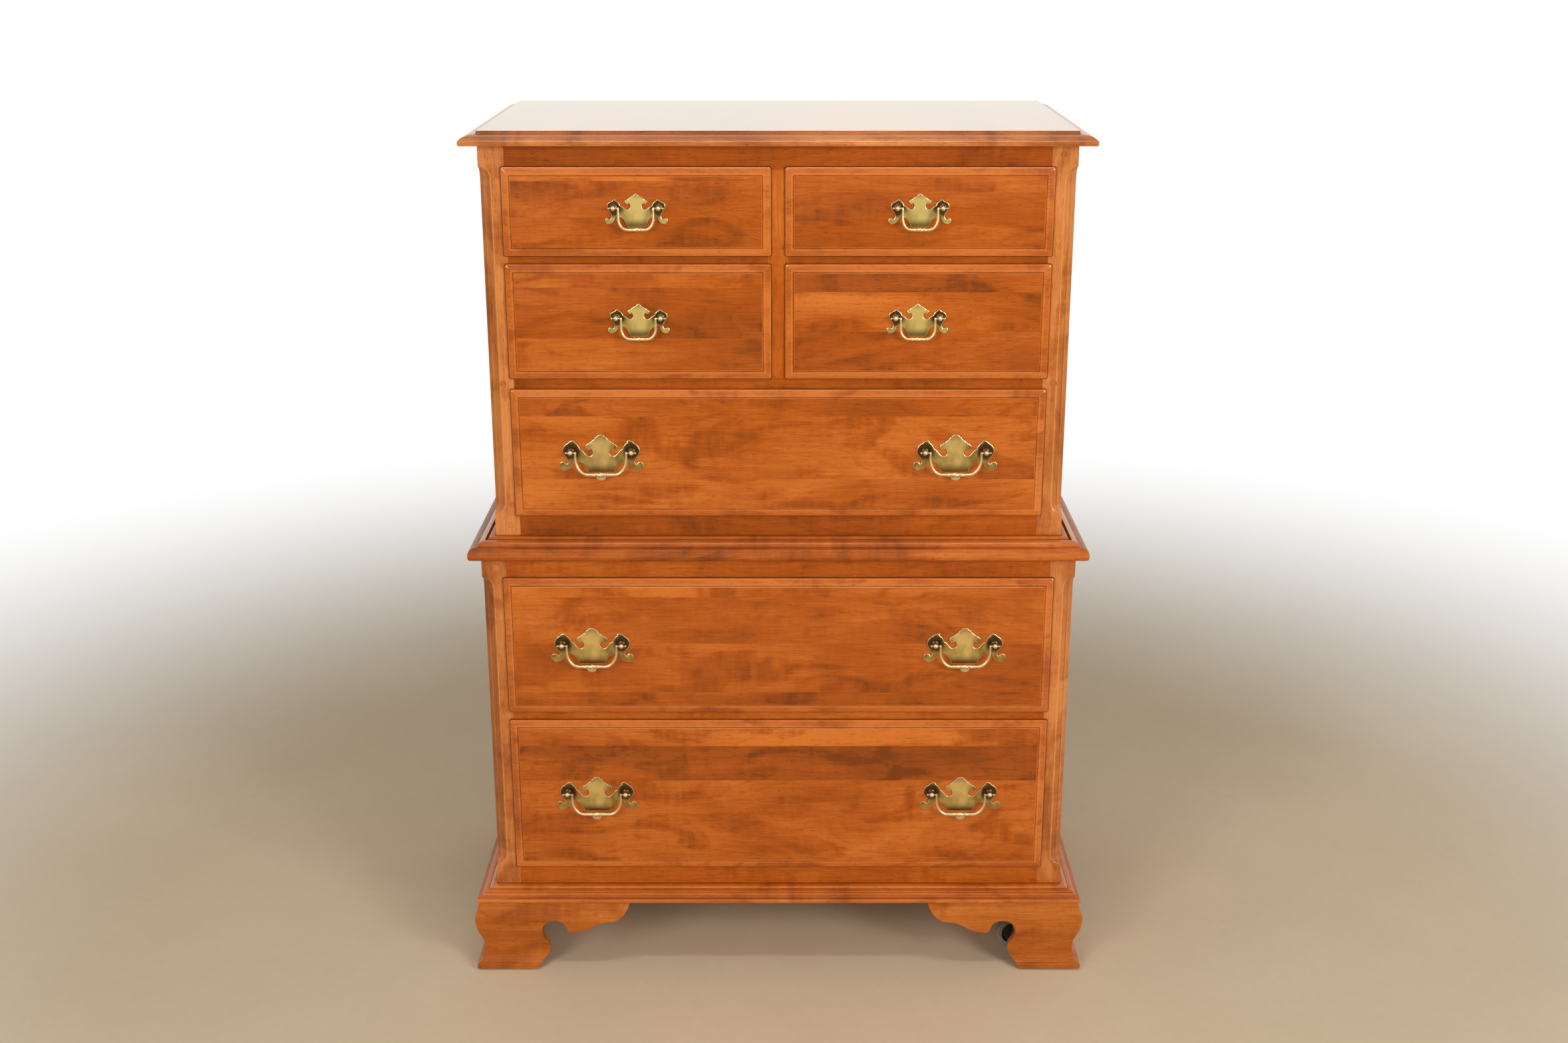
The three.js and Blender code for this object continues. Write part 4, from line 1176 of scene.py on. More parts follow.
    def framed(self, name: str, case: str, runs: Moulded, seed: float, shade: float, notched: bool) -> None:
        """A moulding that is a frame of four mitred members.

        Args:
            name: What it is, as in the name of its CAD node.
            case: The case whose face the runs stand out from.
            runs: Runs of [out, up] in millimetres.
            seed: Moves the wood's figure.
            shade: Makes it darker above 0 and paler below.
            notched: Whether the back sheet passes through it.
        """
        p = self.places
        node = f"{name}_moulding"
        half, front = p.case(case)
        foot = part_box(node)[0].z
        rings = self.outer_rings(runs, half, front, p.back, foot, notched)
        member = self.frame_member
        inner = (p.lower_half - member, p.lower_front + member, p.back - member)
        rings += [self.ring(*inner, z, notched) for z in (rings[-1][0].z, foot)]
        band = f"{name}_band"
        piece = shown(band, rings_mesh(band, [(rings, True)], tones=run_tones(runs), mitred=True))
        dress_worked(piece, MAPLE.worked(f"maple_{band}", Grain.ACROSS, seed, shade, mitre=half + front))
        seat(piece, "case", (node,))

    def build(self) -> None:
        """Build all three."""
        self.top()
        self.framed("waist", "upper", self.waist_runs, seed=5.7, shade=0.12, notched=True)
        self.framed("base", "lower", self.base_runs, seed=8.3, shade=0.0, notched=False)


# Corner posts


@dataclass
class CornerPosts:
    """Corner posts whose outer corner has a stopped chamfer of two facets.

    A stop share is [distance into the chamfer, in metres, and how deep the chamfer is there, from 0 to 1].
    """

    places: Places
    face_leg: float = 17 * MM
    side_leg: float = 16 * MM
    ridge_in: float = 6.5 * MM
    ridge_deep: float = 8.2 * MM
    hollow: float = 0.5 * MM
    hollow_steps: int = 3
    arris: float = 0.9 * MM
    # The chamfers' tones paint light and shade: the left posts' chamfers get painted shade and the right ones
    # painted light and highlights, as the light falls from the right.
    tones: dict[str, tuple[Tone, ...]] = field(default_factory=lambda: {
        "left": (Tone.ARRIS, Tone.PLAIN, Tone.SHADED, Tone.SHADED, Tone.SHADED, Tone.BAND, Tone.SHADED),
        "right": (Tone.ARRIS, Tone.BAND, Tone.PLAIN, Tone.PLAIN, Tone.SHADED, Tone.ARRIS, Tone.BAND)})
    figures: dict[str, float] = field(default_factory=lambda: {"upper": 11.0, "lower": 13.3})
    left_figure: float = 0.9
    # The upper posts are made paler than the lower ones, partly as a painted sheen on their faces.
    shades: dict[str, float] = field(default_factory=lambda: {
        "upper_left": -0.14, "upper_right": -0.14, "lower_left": 0.06, "lower_right": 0.08})
    stop_above_foot: float = 29.5 * MM
    stop_below_head: float = 27 * MM
    stop_shares: Outline = field(default_factory=lambda: [
        (0.0, 0.012), (0.002, 0.05), (0.0034, 0.15), (0.0046, 0.34), (0.0062, 0.53), (0.0082, 0.69),
        (0.0108, 0.83), (0.0145, 0.94), (0.019, 0.985), (0.0245, 1.0)])
    crease: float = math.radians(10)
    plug_radius: float = 4.8 * MM
    plug_rise: float = 0.12 * MM
    plug_in: float = 21 * MM
    plug_sides: int = 28
    plug_worn: Pair = (0.92, 0.4)
    plug_depth: float = 0.96 * MM
    plug_figure: float = 2.2
    plug_shade: float = -0.02
    plug_levels: tuple[tuple[str, float], ...] = (
        ("upper", 1.2616), ("upper", 0.9338), ("upper", 0.7185), ("lower", 0.6585))

    def section(self, low: Vector, high: Vector, share: float, z: float) -> Ring:
        """The right post's section at one height.

        Args:
            low: The post's lowest corner.
            high: Its highest corner.
            share: How deep the chamfer is, from 0 to 1.
            z: The height.

        Returns:
            The section's points.
        """
        start = Vector((high.x - self.face_leg * share, low.y))
        ridge = Vector((high.x - self.ridge_in * share, low.y + self.ridge_deep * share))
        end = Vector((high.x, low.y + self.side_leg * share))
        slope, rise = (ridge - start).normalized(), (end - ridge).normalized()
        worn = self.arris * share
        points = [start - Vector((worn, 0)), start + slope * worn]
        for k in range(1, self.hollow_steps + 1):
            t = k / (self.hollow_steps + 1)
            depth = self.hollow * share * math.sin(math.pi * t)
            points.append(start.lerp(ridge, t) + slope.orthogonal() * depth)
        points += [ridge - slope * worn, ridge + rise * worn, end]
        points += [Vector((high.x, high.y)), Vector((low.x, high.y)), Vector((low.x, low.y))]
        return [Vector((point.x, point.y, z)) for point in points]

    def right_post(self, node: str, tones: tuple[Tone, ...]) -> Mesh:
        """The mesh of a right post.

        Args:
            node: The CAD node that it stands for.
            tones: The tones of its chamfer's faces, from the front to the side.

        Returns:
            The mesh.
        """
        low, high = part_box(node)
        stations = [(low.z, self.stop_shares[0][1])]
        stations += [(low.z + self.stop_above_foot + up, share) for up, share in self.stop_shares]
        stations += [(high.z - self.stop_below_head - up, share) for up, share in reversed(self.stop_shares)]
        stations.append((high.z, self.stop_shares[0][1]))
        rings = [self.section(low, high, share, z) for z, share in stations]
        mesh = rings_mesh(node, [(rings, False)], self.crease)
        for face in mesh.polygons:
            around = face.index % len(rings[0])
            if face.index < len(rings[0]) * (len(rings) - 1) and around < len(tones):
                face.material_index = tones[around].place
        return mesh

    def plugs(self) -> None:
        """Faint round plugs in the posts' faces."""
        inner, low = self.plug_worn
        profile = [(0.0, -self.plug_rise), (self.plug_radius * inner, -self.plug_rise),
                   (self.plug_radius, -self.plug_rise * low), (self.plug_radius, self.plug_depth),
                   (0.0, self.plug_depth)]
        shells = []
        for case, z in self.plug_levels:
            half, front = self.places.case(case)
            for side in (-1, 1):
                centre = Vector((side * (half - self.plug_in), front, z))
                shells.append((turned_rings(profile, self.plug_sides, Grain.DEEP, centre), False))
        piece = shown("post_plugs", rings_mesh("post_plugs", shells))
        finish = POST_MAPLE.material("maple_plugs", Grain.UPRIGHT, self.plug_figure, shade=self.plug_shade)
        dress(piece, finish)
        seat(piece, "case", ())

    def build(self) -> None:
        """Build the four posts and their plugs."""
        for case, figure in self.figures.items():
            for side, tones in self.tones.items():
                post = f"{case}_{side}"
                seed = figure
                mesh = self.right_post(f"{case}_right_post", tones)
                if side == "left":
                    seed += self.left_figure
                    mesh = mirrored_mesh(mesh, f"{post}_post")
                piece = shown(f"{post}_stop_chamfered_post", mesh)
                finishes = POST_MAPLE.worked(f"maple_{post}_post", Grain.UPRIGHT, seed, self.shades[post])
                dress_worked(piece, finishes)
                seat(piece, "case", (f"{post}_post",))
        self.plugs()


# Drawer fronts


@dataclass
class DrawerFronts:
    """Drawer fronts with a thumbnail moulded lip round a raised field.

    The thumbnail is [in from the lip's edge, out from the lip's back] in millimetres. The tones are those of
    the steps from ring to ring, from the back of the body out to the field, and paint light and shade on the
    lip.
    """

    places: Places
    lip_gap: float = 0.3 * MM
    crease: float = math.radians(12)
    corner_cut: float = 1.8 * MM
    corner_run: float = 9 * MM
    corner_least: float = 0.05 * MM
    flush: float = 0.01 * MM
    thumbnail: Outline = field(default_factory=lambda: [
        (0, 0), (0, 1.9), (0.35, 2.4), (1, 2.8), (1.7, 3.3), (2.6, 3.75), (4.2, 4.2), (6.4, 4.65), (8.8, 5.1),
        (10.8, 5.4), (12, 5.45), (12.6, 5.3), (12.8, 6.3), (13.2, 6.7), (13.7, 6.8)])
    tones: tuple[Tone, ...] = (
        Tone.PLAIN, Tone.PLAIN, Tone.CREASE, Tone.CREASE, Tone.CREASE, Tone.ARRIS, Tone.ARRIS, Tone.BAND,
        Tone.BAND, Tone.BAND, Tone.ARRIS, Tone.BAND, Tone.CREASE, Tone.CREASE, Tone.ARRIS, Tone.ARRIS)
    inset: float = 12 * MM
    lip_shade: float = 0.04
    first_figure: float = 21.3
    next_figure: float = 3.7
    boards: dict[str, tuple[Board, ...]] = field(default_factory=lambda: {
        "fifth": (Board(0.0, -0.07), Board(0.075, -0.06), Board(0.60, 0.26), Board(0.83, -0.04)),
        "fourth": (Board(0.0, 0.03), Board(0.16, 0.0), Board(0.52, 0.05), Board(0.86, -0.01)),
        "third": (Board(0.0, -0.06), Board(0.30, 0.0), Board(0.79, 0.12), Board(0.93, -0.04)),
        "second_left": (Board(0.0, 0.06), Board(0.36, 0.11), Board(0.8, 0.02)),
        "second_right": (Board(0.0, 0.13), Board(0.42, 0.05), Board(0.76, 0.12)),
        "top_left": (Board(0.0, -0.03), Board(0.44, 0.08), Board(0.84, 0.01)),
        "top_right": (Board(0.0, 0.08), Board(0.35, 0.15), Board(0.72, 0.06)),
    })

    @staticmethod
    def cut_ring(across: Pair, levels: Pair, y: float, cut: float) -> Ring:
        """A rectangle with cut corners at one depth.

        Args:
            across: Its left and right edge.
            levels: Its lowest and highest level.
            y: The depth.
            cut: How far its corners are cut.

        Returns:
            Its points.
        """
        (left, right), (low, high) = across, levels
        plan = [(left + cut, low), (right - cut, low), (right, low + cut), (right, high - cut),
                (right - cut, high), (left + cut, high), (left, high - cut), (left, low + cut)]
        return [Vector((x, y, z)) for x, z in plan]

    def front(self, name: str, face: float, seed: float) -> None:
        """Build one front.

        Args:
            name: The drawer's name.
            face: The case's front face.
            seed: Moves the wood's figure.
        """
        node = f"{name}_drawer_front"
        low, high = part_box(node)
        body_low, body_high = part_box(f"{name}_drawer_box")
        back = face - self.lip_gap
        rings = [self.cut_ring((body_low.x, body_high.x), self.body_levels(node), y, self.corner_least)
                 for y in (face + self.inset, back)]
        for inset, rise in scaled(self.thumbnail):
            cut = max(self.corner_least, self.corner_cut * (1 - inset / self.corner_run))
            across, levels = (low.x + inset, high.x - inset), (low.z + inset, high.z - inset)
            rings.append(self.cut_ring(across, levels, back - rise, cut))
        mesh = rings_mesh(node, [(rings, False)], self.crease, list(self.tones), True)
        piece = shown(f"{name}_lipped_front", mesh)
        finishes = MAPLE.worked(f"maple_{name}_lip", Grain.ACROSS, seed, self.lip_shade)
        piece.data.polygons[-1].material_index = len(finishes)
        levels = (low.z, high.z)
        finishes.append(MAPLE.material(f"maple_{name}_front", Grain.ACROSS, seed, self.boards[name], levels))
        dress_worked(piece, finishes)
        seat(piece, f"{name}_drawer", (node,))

    def body_levels(self, node: str) -> Pair:
        """The levels of the part of a front that fills its opening.

        Args:
            node: The front's CAD node.

        Returns:
            The lowest and highest level.
        """
        points = [vertex.co for vertex in bpy.data.objects[node].data.vertices]
        back = max(point.y for point in points)
        levels = [point.z for point in points if back - point.y < self.flush]
        return min(levels), max(levels)

    def build(self) -> None:
        """Build all seven."""
        for i, name in enumerate(DRAWERS):
            case = "lower" if name in LOWER_DRAWERS else "upper"
            self.front(name, self.places.case(case)[1], self.first_figure + self.next_figure * i)


# Feet and casters


@dataclass
class Feet:
    """Ogee bracket feet with a scrolled lower edge, and their inner corner blocks.

    The ogee is [out from the case's face, up], and the scroll and the tail are [along from the foot's corner,
    up], all in millimetres. The tail is drawn out or in to the bracket's length.
    """

    places: Places
    seam: float = 0.2 * MM
    bracket: float = 22 * MM
    reach: float = 33 * MM
    ogee: list[Outline] = field(default_factory=lambda: [
        [(32.4, 0), (33, 0.6)], [(33, 0.6), (32.8, 8)], [(32.8, 8), (31.9, 8.8)],
        [(31.9, 8.8), (28.8, 10), (25.4, 13.4), (22.9, 18.5), (21.4, 24.5), (20.8, 31), (21.2, 38.5),
         (22.5, 45), (24.6, 51.5), (27.4, 58.5), (29.9, 66), (31.8, 74.5), (32.8, 82), (32.9, 88),
         (32.1, 94), (30.4, 99.5), (27.6, 105.3), (26.4, 109.5), (26.4, 112.7)],
    ])
    scroll: list[Outline] = field(default_factory=lambda: [
        [(92.2, 0), (96, 3.4), (104.6, 13.8), (110.6, 20.7), (113, 27), (113.4, 33), (112.2, 39), (108, 45),
         (104.6, 51.5), (103, 59), (102.8, 66), (105, 74), (110.5, 80.6), (118, 83.9), (126, 84.6),
         (133, 82.8), (138.8, 78.3), (142, 72), (143.3, 65.6)],
    ])
    tail: list[Outline] = field(default_factory=lambda: [
        [(143.3, 65.6), (145.6, 62.6), (150, 61.6), (156, 61.8), (164, 63.6), (171, 66.4), (178, 70.2),
         (187, 75.8), (196.5, 79.9), (207.5, 82), (218, 83.6), (223, 87)],
        [(223, 87), (229.8, 92.2), (234.8, 98.6), (238.6, 105.4), (240.4, 111.5)],
    ])
    front_run: float = 241.0
    side_run: float = 190.0
    spill: float = 8.0
    case_level: float = 122.0
    cut_outside: float = 6 * MM
    cut_inside: float = 1 * MM
    block: float = 82 * MM
    block_low: float = 58.3 * MM
    rear: float = 19 * MM
    rear_run: float = 150 * MM
    rear_arch: float = 62 * MM
    rear_slope: Pair = (37.5 * MM, 75 * MM)
    first_figure: float = 51.0
    rear_figure: float = 5.1
    shade: float = -0.05

    def edge(self, run: float) -> Outline:
        """The scrolled lower edge of a bracket, in metres, as a closed cutter outline.

        Args:
            run: The bracket's length in millimetres.

        Returns:
            Points [along, up].
        """
        toe, start = self.scroll[0][0][0], self.tail[0][0][0]
        share = (run - start) / (self.front_run - start)
        tail = [(start + (along - start) * share, up) for along, up in joined_runs(self.tail)]
        points = [(toe, -self.spill)] + joined_runs(self.scroll) + tail[1:]
        points += [(run + self.spill, self.case_level), (run + self.spill, -self.spill)]
        return scaled(points)

    def shell(self, stations: list[tuple[Vector, Vector]], inner: float, height: float) -> list[Ring]:
        """Rings of the ogee section at plan stations.

        Args:
            stations: For each station its place where out is 0, and the change in place for each metre out.
            inner: How far out the bracket's inner face is.
            height: The bracket's height.

        Returns:
            The rings.
        """
        outer = [(out, min(up, height)) for out, up in scaled(joined_runs(self.ogee, 3))]
        outline = [(inner, 0.0)] + outer + [(inner, outer[-1][1])]
        return [[Vector((at.x + step.x * out, at.y + step.y * out, up)) for out, up in outline]
                for at, step in stations]

    def foot(self, front: bool) -> Piece:
        """The right foot at the front or the back, with the case's corner at its origin.

        Args:
            front: Whether it is the front foot.

        Returns:
            The foot.
        """
        node = "front_right_foot" if front else "rear_right_foot"
        low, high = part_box(node)
        height = high.z - low.z
        inner = self.reach - self.bracket
        side = self.side_run * MM
        near, far = inner - self.cut_inside, self.reach + self.cut_outside
        corner = Vector((0, 0))
        to_front, to_side = Vector((0, -1)), Vector((1, 0))
        if front:
            stations = [(Vector((self.reach - self.front_run * MM, 0)), to_front),
                        (corner, to_front + to_side), (Vector((0, side - self.reach)), to_side)]
            face_cut = [(self.reach - a, b) for a, b in self.edge(self.front_run)]
            side_cut = [(a - self.reach, b) for a, b in self.edge(self.side_run)]
            cutters = [prism_mesh("face_cut", face_cut, -far, -near, Grain.DEEP)]
        else:
            stations = [(Vector((0, -side)), to_side), (corner, to_side)]
            side_cut = [(-a, b) for a, b in self.edge(self.side_run)]
            cutters = []
        cutters.append(prism_mesh("side_cut", side_cut, near, far, Grain.ACROSS))
        work = bmesh.new()
        add_rings(work, self.shell(stations, inner, height))
        piece = shown(f"{'front' if front else 'rear'}_right_ogee_foot", finish_mesh(work, node))
        carve(piece, cutters)
        self.add_inside(piece, front, inner, height)
        return piece

    def add_inside(self, piece: Piece, front: bool, inner: float, height: float) -> None:
        """Add the corner block and, at the back, the plain rear bracket.

        Args:
            piece: The foot.
            front: Whether it is a front foot.
            inner: How far out the brackets' inner faces are.
            height: The foot's height.
        """
        work = bmesh.new()
        work.from_mesh(piece.data)
        if front:
            low = Vector((inner - self.block, -inner, self.block_low))
            high = Vector((inner, self.block - inner, height))
        else:
            low = Vector((inner - self.block, -self.rear - self.block, self.block_low))
            high = Vector((inner - self.seam, -self.rear - self.seam, height - self.seam))
            toe, slope = (inner - length for length in self.rear_slope)
            end = inner - self.rear_run
            plan = [(inner, 0), (inner, height), (end, height), (end, self.rear_arch),
                    (slope, self.rear_arch), (toe, 0)]
            add_rings(work, [[Vector((x, y, z)) for x, z in plan] for y in (-self.rear, 0.0)])
        add_rings(work, block_rings(low, high))
        piece.data = finish_mesh(work, piece.name)

    def settle(self, piece: Piece, front: bool, sign: int) -> None:
        """Move a foot to its corner, dress it and seat it.

        Args:
            piece: The foot.
            front: Whether it is a front foot.
            sign: 1 on the right and -1 on the left.
        """
        p = self.places
        foot = piece.name.removesuffix("_ogee_foot") + "_foot"
        offset = Vector((sign * p.lower_half, p.lower_front if front else p.back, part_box(foot)[0].z))
        for vertex in piece.data.vertices:
            vertex.co += offset
        grain = Grain.ACROSS if front else Grain.DEEP
        mitre = p.lower_half + p.lower_front if front else None
        seed = self.first_figure + sign + (0.0 if front else self.rear_figure)
        dress(piece, FOOT_MAPLE.material(f"maple_{foot}", grain, seed, shade=self.shade, mitre=mitre))
        seat(piece, "case", (foot,))

    def build(self) -> None:
        """Build the four feet."""
        for end, front in (("front", True), ("rear", False)):
            right = self.foot(front)
            left = shown(f"{end}_left_ogee_foot", mirrored_mesh(right.data, f"{end}_left_foot"))
            self.settle(right, front, 1)
            self.settle(left, front, -1)


@dataclass
class Casters:
    """Wheels with a grey tread on a dark disc. Their forks keep the frame's meshes.

    The lip and the rounds are [across the radius, along the axle] in millimetres, from the corner that they
    round.
    """

    sides: int = 56
    tread: float = 8 * MM
    hub: float = 8 * MM
    recess: float = 5.5 * MM
    bore: float = 3.5 * MM
    tread_lip: Pair = (0.6, 0.4)
    tread_round: Outline = field(default_factory=lambda: [(3, 0), (1, 1), (0, 3)])
    hub_round: Outline = field(default_factory=lambda: [(0.6, 1), (1.5, 0)])
    disc_round: Outline = field(default_factory=lambda: [(1.5, 0), (0.1, 1.5)])
    hub_sink: float = 2 * MM

    @staticmethod
    def both_sides(near: Outline) -> Outline:
        """A profile of a wheel from its near side to its mirror image on the far side."""
        return near + [(radius, -deep) for radius, deep in reversed(near)]

    def wheel(self, corner: str) -> None:
        """Build one wheel as a tread and a disc.

        Args:
            corner: The caster's corner.
        """
        node = f"{corner}_caster_wheel"
        low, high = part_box(node)
        radius, half = (high.z - low.z) / 2, (high.y - low.y) / 2
        rim, web, sunk = radius - self.tread, half - self.recess, half - self.hub_sink
        lip_out, lip_deep = scaled([self.tread_lip])[0]
        tread = [(rim, lip_deep - half), (rim + lip_out, -half)]
        tread += [(radius - a, b - half) for a, b in scaled(self.tread_round)]
        disc = [(self.bore, -sunk), (self.hub, -sunk)]
        disc += [(self.hub + a, -web - b) for a, b in scaled(self.hub_round)]
        disc += [(rim - a, -web - b) for a, b in scaled(self.disc_round)]
        for label, profile, finish in (
                ("tread", tread, GREY_TREAD.material(f"grey_tread_{corner}")),
                ("disc", disc, DARK_STEEL.material(f"dark_disc_{corner}"))):
            rings = turned_rings(self.both_sides(profile), self.sides, Grain.DEEP, (low + high) / 2)
            piece = shown(f"{corner}_wheel_{label}", rings_mesh(f"{corner}_{label}", [(rings, True)]))
            dress(piece, finish)
            seat(piece, f"{corner}_wheel", (node,))

    def build(self) -> None:
        """Build the wheels and dress the forks."""
        for corner in ("front_left", "front_right", "rear_left", "rear_right"):
            self.wheel(corner)
            dress_node(f"{corner}_caster_fork", DARK_STEEL.material(f"dark_fork_{corner}"))


# Pulls


@dataclass(frozen=True)
class PullKind:
    """Sizes of one kind of pull, in millimetres.

    The runs are the right half of the plate's outline as [across, up], and the pendant is its right half. The
    beads are [distance from the bar's middle, radius] on its right half.
    """

    name: str
    boring: float
    runs: tuple[tuple[Pair, ...], ...]
    span: float
    drop: float
    straight: float
    bar: float
    wire_top: float
    wire_low: float
    beads: tuple[Pair, ...]
    pendant: tuple[Pair, ...]


LARGE_PULL = PullKind(
    name="large", boring=88.9,
    runs=(
        ((0, 25), (3.6, 24.5), (5.7, 22.1)), ((5.7, 22.1), (7.9, 21.2), (9.4, 19), (10.7, 17.1)),
        ((10.7, 17.1), (13, 16), (14.6, 14.2), (16.4, 12.8)), ((16.4, 12.8), (17.6, 13.1), (18, 11.9)),
        ((18, 11.9), (21.4, 9.9), (23.4, 6.4), (21.9, 2.9), (18.6, 1.6), (15.4, 2.8), (14.4, 3.4)),
        ((14.4, 3.4), (12.9, 1.4), (12.1, -2.2), (13.6, -5.8), (17.1, -7.5), (21.4, -5.8), (25, -1.5),
         (27.9, 1.8), (30.7, 3.2)),
        ((30.7, 3.2), (32.1, 6.4), (35, 10.6), (38.6, 13.5)), ((38.6, 13.5), (36.9, 14.6)),
        ((36.9, 14.6), (39.6, 16), (42.1, 16.1), (45.7, 14.9), (48.6, 12.1)),
        ((48.6, 12.1), (52.9, 9.2), (55.4, 5.6)),
        ((55.4, 5.6), (56.7, 1.4), (55.7, -3.6), (52.9, -7.9), (50, -12.2), (49.1, -16), (50.2, -19),
         (51.4, -19.2)),
        ((51.4, -19.2), (53.1, -17.2), (56.4, -15.8), (60, -17.2), (61.7, -21.5), (60, -25.8), (57.4, -27)),
        ((57.4, -27), (57.1, -28.6)),
        ((57.1, -28.6), (52.9, -29.1), (47.1, -27.2), (42.9, -22.9), (40.7, -16.5), (37.9, -13.6)),
        ((37.9, -13.6), (34.3, -15.4), (28.6, -18.2), (23.6, -22.9), (20.3, -28.6), (19.3, -32)),
        ((19.3, -32), (0, -32)),
    ),
    span=74.2, drop=33.1, straight=9.0, bar=19.0, wire_top=1.9, wire_low=2.4,
    beads=((0, 3.5), (1.4, 3.3), (3.4, 2.6), (4.9, 2.5), (5.5, 2.95), (6.3, 2.95), (6.9, 2.5), (7.8, 2.5),
           (8.4, 3.05), (9.2, 3.05), (10.6, 2.6), (12.2, 2.35)),
    pendant=((0, 0), (1.5, -0.5), (1.6, -3.2), (3, -3.4), (4.8, -2.9), (6.6, -3.2), (6.2, -4.9), (4.6, -6.7),
             (2.4, -7.8), (0, -8.1)))

SMALL_PULL = PullKind(
    name="small", boring=63.5,
    runs=(
        ((0, 19.7), (2.4, 18.2), (3.6, 16.6)), ((3.6, 16.6), (6.3, 15.2), (10.2, 12.7), (11.4, 11.2)),
        ((11.4, 11.2), (12.6, 11.6), (12.9, 10.6)),
        ((12.9, 10.6), (14.9, 9.6), (15.7, 7.8), (14.3, 5.2), (11.9, 4.7), (9.9, 5.9)),
        ((9.9, 5.9), (8.6, 4.1), (8, 1.3), (9.1, -1.4), (11.9, -2.8), (15.2, -2), (18.6, 0.8), (21.3, 2.2)),
        ((21.3, 2.2), (22.4, 3), (23.6, 5.8), (25.8, 8), (28.6, 9.7)), ((28.6, 9.7), (27.2, 10.4)),
        ((27.2, 10.4), (29.4, 11), (31.6, 10.8), (34.1, 8.6)), ((34.1, 8.6), (38, 6.9), (40.4, 4.7)),
        ((40.4, 4.7), (41, 1.9), (40.2, -2), (38, -5.3), (35.8, -8.7), (34.8, -12), (35.4, -14.8),
         (36.6, -16.4)),
        ((36.6, -16.4), (39.1, -15.7), (41.9, -15.1), (43.8, -17), (43.9, -19.8), (42.4, -21.6)),
        ((42.4, -21.6), (41.7, -23)),
        ((41.7, -23), (38.6, -23.3), (34.1, -22), (30.8, -18.1), (29.1, -13.7), (26.9, -12.4)),
        ((26.9, -12.4), (23.6, -13.5), (19.7, -15.3), (16.9, -18.7), (15, -22.6), (13, -26.4), (11.3, -27.9)),
        ((11.3, -27.9), (0, -27.9)),
    ),
    span=49.2, drop=30.1, straight=15.0, bar=12.0, wire_top=1.75, wire_low=2.1,
    beads=((0, 2.8), (1.4, 2.6), (3.2, 2.2), (3.8, 2.5), (4.6, 2.5), (5.2, 2.2), (6.0, 2.2), (6.6, 2.6),
           (7.4, 2.6), (8.4, 2.2), (9.6, 2.05)),
    pendant=())


